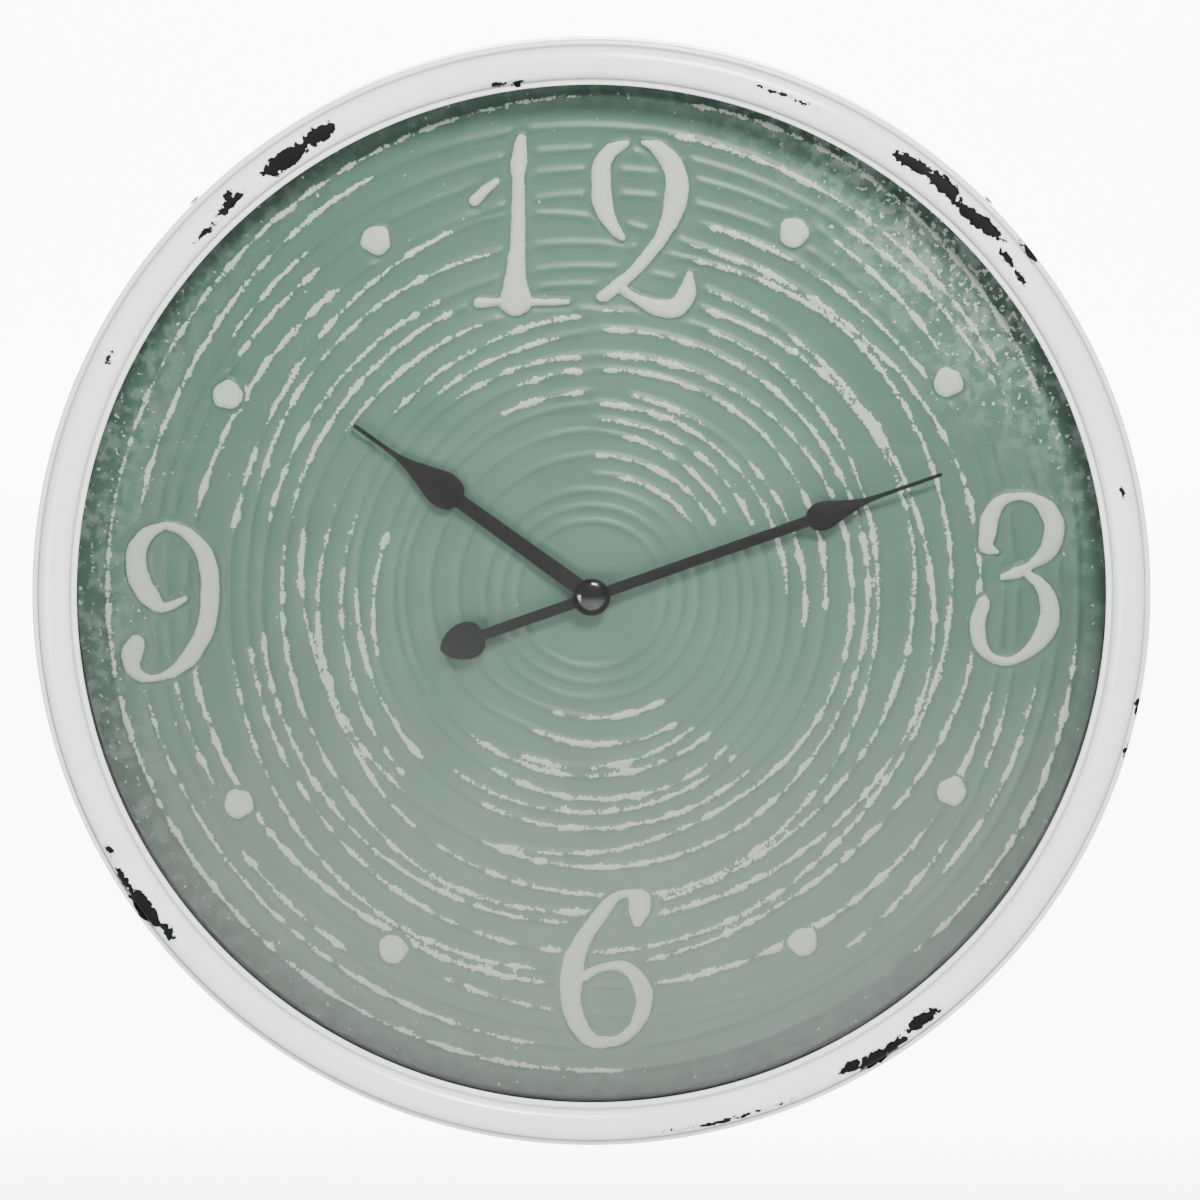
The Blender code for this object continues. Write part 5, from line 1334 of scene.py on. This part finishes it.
# One edge of each blade and of the minute hand's tail: (half width, distance from the centre)
MINUTE_BLADE = [
    (2.95, 30.0), (2.95, 80.0), (2.95, 118.0), (2.95, 122.6), (3.5, 123.6), (5.4, 125.0), (6.9, 127.4),
    (7.75, 130.6), (7.7, 133.6), (6.9, 137.0), (5.5, 141.6), (3.9, 147.0), (2.4, 153.0), (1.5, 159.5),
    (1.15, 168.0), (1.05, 182.0), (0.95, 197.6), (0.7, 199.3), (0.0, 200.0),
]
MINUTE_TAIL = [
    (2.95, 20.0), (2.95, 50.0), (2.95, 61.0), (3.6, 62.0), (6.6, 63.2), (9.2, 66.4), (10.2, 70.6),
    (9.6, 75.4), (7.4, 80.4), (4.0, 84.4), (1.0, 86.2), (0.0, 86.5),
]
HOUR_BLADE = [
    (4.4, 20.0), (4.1, 50.0), (3.9, 78.0), (3.9, 86.6), (4.6, 88.0), (7.2, 89.6), (9.0, 93.2), (9.75, 97.6),
    (9.4, 101.4), (7.9, 106.4), (5.7, 113.0), (3.6, 119.6), (2.1, 126.0), (1.45, 132.0), (1.25, 142.0),
    (1.15, 155.4), (0.8, 157.4), (0.0, 158.0),
]


@dataclass
class HubCap:
    """The glossy domed cap over the hands' centre.

    Attributes:
        flange: How tall its straight edge is.
        hole: The radius of the hole behind it for the arbor.
        depth: How deep that hole is.
    """

    flange: float = 1.0
    hole: float = 1.8
    depth: float = 1.8

    def build(self) -> None:
        """Makes the cap."""
        low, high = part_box("hub_cap")
        radius, front, back = high.x / MM, low.y / MM, high.y / MM
        dome = back - self.flange
        line = [(0.0, front)]
        for step in range(1, 25):
            angle = math.pi / 2 * step / 24
            line.append((radius * math.sin(angle), dome - (dome - front) * math.cos(angle)))
        line += [(radius, back - 0.1), (radius - 0.1, back)]
        line += [(self.hole, back), (self.hole, back - self.depth), (0.0, back - self.depth)]
        # The gloss enamel that is stoved on the cap
        gloss = Coating("stove enamel, gloss black", "0e0e0e", "131313", 0.16, 8.0, 0.0, 0.6).build()
        cap = Piece("domed_hub_cap").spin(line, 96, closed=False)
        cap.finish(gloss, Body.MINUTE, "cap_enamel", ("hub_cap",))


# ---------------------------------------------------------------- the rest of the clock

# The powder coat on the case's steel rings
BLACK_COAT = Coating("powder coat, satin black on steel", "1d1d1e", "2b2b2c", 0.5, 5.0, 0.02)

# The rubber between the glass and the lip
SEAL_RUBBER = Coating("nitrile rubber, extruded", "161616", "232323", 0.75, 3.0, 0.015)

# The card ring that keeps the glass off the dial
BLACK_BOARD = Coating("fibreboard, dyed black", "20201f", "2c2b2a", 0.8, 2.0, 0.03)

# The thin dark paint on the hands
HAND_PAINT = Coating("stove enamel, satin charcoal", "121111", "171616", 0.5, 12.0, 0.0, 0.0, 0.25)

SLOT_FINISHES = {
    # The case's screws
    "zinc_screw": Metal("steel screw, zinc plated", "b9bbbd", "93969a", 0.3, 2.0),
    "gasket_rubber": SEAL_RUBBER,
    "spacer_board": BLACK_BOARD,
    "black_coat": BLACK_COAT,
    # The keyhole hanger's spangled sheet
    "galvanised": Metal("steel sheet, hot-dip galvanised", "b4b8ba", "8d9396", 0.4, 5.0),
    # The hanger's rivets
    "rivet_steel": Metal("steel wire, bright drawn", "b3b3b2", "8f8f8e", 0.3, 1.5),
    # The feet that keep the case off the wall
    "bumper_rubber": Coating("EPDM rubber, moulded", "1b1b1b", "272727", 0.8, 2.0, 0.02),
    # The bush, its nut and washer, and the centre wheel
    "brass_fittings": Metal("brass, turned", "c8a557", "a38244", 0.28, 2.0),
    # The movement's housing and cover
    "movement_plastic": Coating("ABS, moulded black", "1c1c1d", "242425", 0.45, 4.0, 0.02),
    # The plastic wheels, their plate and the setting knob
    "acetal": Coating("acetal, moulded natural white", "e6e5df", "d8d6cd", 0.4, 1.5, 0.005),
    # The motor's stator and core
    "soft_iron": Metal("soft iron sheet, annealed", "8d8c8a", "716f6c", 0.45, 2.0),
    # The motor's coil, with its turns showing as streaks
    "enamelled_copper": Metal("copper wire, enamelled and wound", "b06a3c", "8e4f2a", 0.35, 0.6, 6.0),
    # The board that carries the timing chip and the crystal
    "circuit_board": Coating(
        "glass-epoxy board, green solder mask", "1f5a37", "2a6a44", 0.35, 2.0, 0.005, 0.3,
    ),
    # The springs at the cell's two ends
    "nickel_contact": Metal("spring steel, nickel plated", "c4c1ba", "a19d95", 0.25, 2.0),
    # The rotor's magnet
    "rotor_ferrite": Metal("ferrite magnet, sintered", "55555a", "434347", 0.5, 1.0),
    # The plain sleeve on the cell
    "cell_jacket": Coating("PVC sleeve, shrunk over a steel can", "2a2b2e", "35363a", 0.28, 6.0, 0.004, 0.3),
}


class CarriedOver:
    """The CAD nodes that are shown as they are, in better finishes."""

    def __init__(self) -> None:
        """Reads which slot each node takes its finish from."""
        self.slots = {part["node"]: part["material_slot"] for part in frame["record"]["subparts"]}

    def dress(self) -> None:
        """Gives every shown node its finish."""
        built = {slot: finish.build() for slot, finish in SLOT_FINISHES.items()}
        built["clear_glass"] = PaneGlass().build()
        for node, slot in self.slots.items():
            shown = frame["nodes"][node]
            if shown.hide_render:
                continue
            shown.data.materials.clear()
            shown.data.materials.append(built[slot])
            LOG.info("%s: %s", node, built[slot].name)


# ---------------------------------------------------------------- the studio

@dataclass
class Studio:
    """A plain pale floor, soft light and a long-lens camera in front of the clock.

    Attributes:
        distance: How far the camera stands from the dial, in metres.
        elevation: How many degrees it looks down.
        span: How wide its view is at the dial, in metres.
        aim: Where it looks, across and up, in metres.
        glow: How strongly the sweep behind the clock shines.
        floor_drop: How far the floor lies below the clock, in metres.
        floor_width: How wide the floor is.
        floor_end: Where the floor starts to curve up, in Y.
        bend_radius: The radius of that curve.
        sky: How bright the white surroundings are.
    """

    distance: float = 3.0
    elevation: float = 8.6
    span: float = 0.648
    aim: tuple[float, float] = (0.0046, -0.0028)
    glow: float = 9.0
    floor_drop: float = 0.35
    floor_width: float = 16.0
    floor_end: float = 6.0
    bend_radius: float = 1.5
    sky: float = 0.25

    def floor(self) -> None:
        """Lays the floor under the clock and curves it up behind, where it glows like a lit paper sweep."""
        mesh = bmesh.new()
        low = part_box("front_bezel")[0].z - self.floor_drop
        left, bend, end = -self.floor_width / 2, self.bend_radius, self.floor_end
        line = [mesh.verts.new((left, y, low)) for y in (-6.0, -1.0, 1.0, 3.0, 5.0, end)]
        for step in range(1, 9):
            angle = math.pi / 2 * step / 8
            y, z = end + bend * math.sin(angle), low + bend - bend * math.cos(angle)
            line.append(mesh.verts.new((left, y, z)))
        line.append(mesh.verts.new((left, end + bend, low + 5.0)))
        edges = [mesh.edges.new(pair) for pair in zip(line, line[1:])]
        swept = bmesh.ops.extrude_edge_only(mesh, edges=edges)
        far = [item for item in swept["geom"] if isinstance(item, bmesh.types.BMVert)]
        bmesh.ops.translate(mesh, verts=far, vec=(self.floor_width, 0, 0))
        bmesh.ops.recalc_face_normals(mesh, faces=mesh.faces)
        data = bpy.data.meshes.new("studio_floor")
        mesh.to_mesh(data)
        mesh.free()
        data.shade_smooth()
        # The paper sweep, which glows only behind the clock and fades out at its sides
        shader = Shader("paper sweep, matt white and lit from behind")
        axes = shader.add("ShaderNodeSeparateXYZ", Vector=shader.place)
        beyond = shader.ramp(axes.outputs["Y"], 0.7, 1.5)
        within = shader.ramp(shader.maths("ABSOLUTE", axes.outputs["X"]), 2.6, 1.4)
        data.materials.append(shader.surface(
            Base_Color=colour("fafafa"), Roughness=0.9, Emission_Color=colour("ffffff"),
            Emission_Strength=shader.maths("MULTIPLY", shader.maths("MULTIPLY", beyond, within), self.glow),
        ))
        made = bpy.data.objects.new("studio_floor", data)
        bpy.context.scene.collection.objects.link(made)

    def lamp(self, name: str, place: tuple[float, float, float], size: float, watts: float) -> None:
        """Hangs one square soft light that points at the clock's centre.

        Args:
            name: The light's name.
            place: Where it hangs, in metres.
            size: The length of its side.
            watts: How strong it is.
        """
        light = bpy.data.lights.new(name, "AREA")
        light.shape = "SQUARE"
        light.size = size
        light.energy = watts
        made = bpy.data.objects.new(name, light)
        made.location = place
        made.rotation_euler = (-Vector(place)).to_track_quat("-Z", "Y").to_euler()
        bpy.context.scene.collection.objects.link(made)

    def light(self) -> None:
        """Sets the white surroundings and the soft lights."""
        world = bpy.data.worlds.new("studio")
        world.use_nodes = True
        sky = world.node_tree.nodes["Background"]
        sky.inputs["Color"].default_value = (1.0, 1.0, 1.0, 1.0)
        sky.inputs["Strength"].default_value = self.sky
        bpy.context.scene.world = world
        self.lamp("key", (0.5, -2.3, 2.0), 0.8, 235.0)
        self.lamp("fill", (-1.9, -2.4, -0.6), 1.2, 80.0)
        self.lamp("low_fill", (1.6, -2.2, -1.5), 1.2, 45.0)

    def camera(self) -> None:
        """Stands the camera."""
        lens = bpy.data.cameras.new("camera")
        lens.lens = lens.sensor_width * self.distance / self.span
        made = bpy.data.objects.new("camera", lens)
        down = math.radians(self.elevation)
        back = Vector((0.0, -math.cos(down), math.sin(down)))
        target = Vector((self.aim[0], 0.0, self.aim[1]))
        made.location = target + back * self.distance
        made.rotation_euler = (-back).to_track_quat("-Z", "Y").to_euler()
        bpy.context.scene.collection.objects.link(made)
        bpy.context.scene.camera = made

    def build(self) -> None:
        """Makes the floor, the lights and the camera."""
        self.floor()
        self.light()
        self.camera()


def main() -> None:
    """Builds the looks of every part, then the studio."""
    logging.basicConfig(level=logging.INFO, format="%(name)s: %(message)s")
    Rim().build()
    low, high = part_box("dial_plate")
    Dial(front=low.y / MM, back=high.y / MM, bore=5.4, edge=high.x / MM).build()
    paint = HAND_PAINT.build()
    Hand("minute_hand", Body.MINUTE, degrees=70.5, blade=MINUTE_BLADE, tail=MINUTE_TAIL, hub=9.0).build(paint)
    Hand("hour_hand", Body.HOUR, degrees=306.0, blade=HOUR_BLADE, tail=[], hub=9.5).build(paint)
    HubCap().build()
    PlainRing("case_band", width=1.2, finish=BLACK_COAT, slot="black_coat").build()
    PlainRing("dial_ledge", width=34.5, finish=BLACK_COAT, slot="black_coat").build()
    PlainRing("rear_flange", width=17.0, finish=BLACK_COAT, slot="black_coat").build()
    PlainRing("glass_gasket", width=13.2, finish=SEAL_RUBBER, slot="gasket_rubber").build()
    PlainRing("glass_spacer", width=1.5, finish=BLACK_BOARD, slot="spacer_board").build()
    CarriedOver().dress()
    Studio().build()


if __name__ == "__main__":
    main()
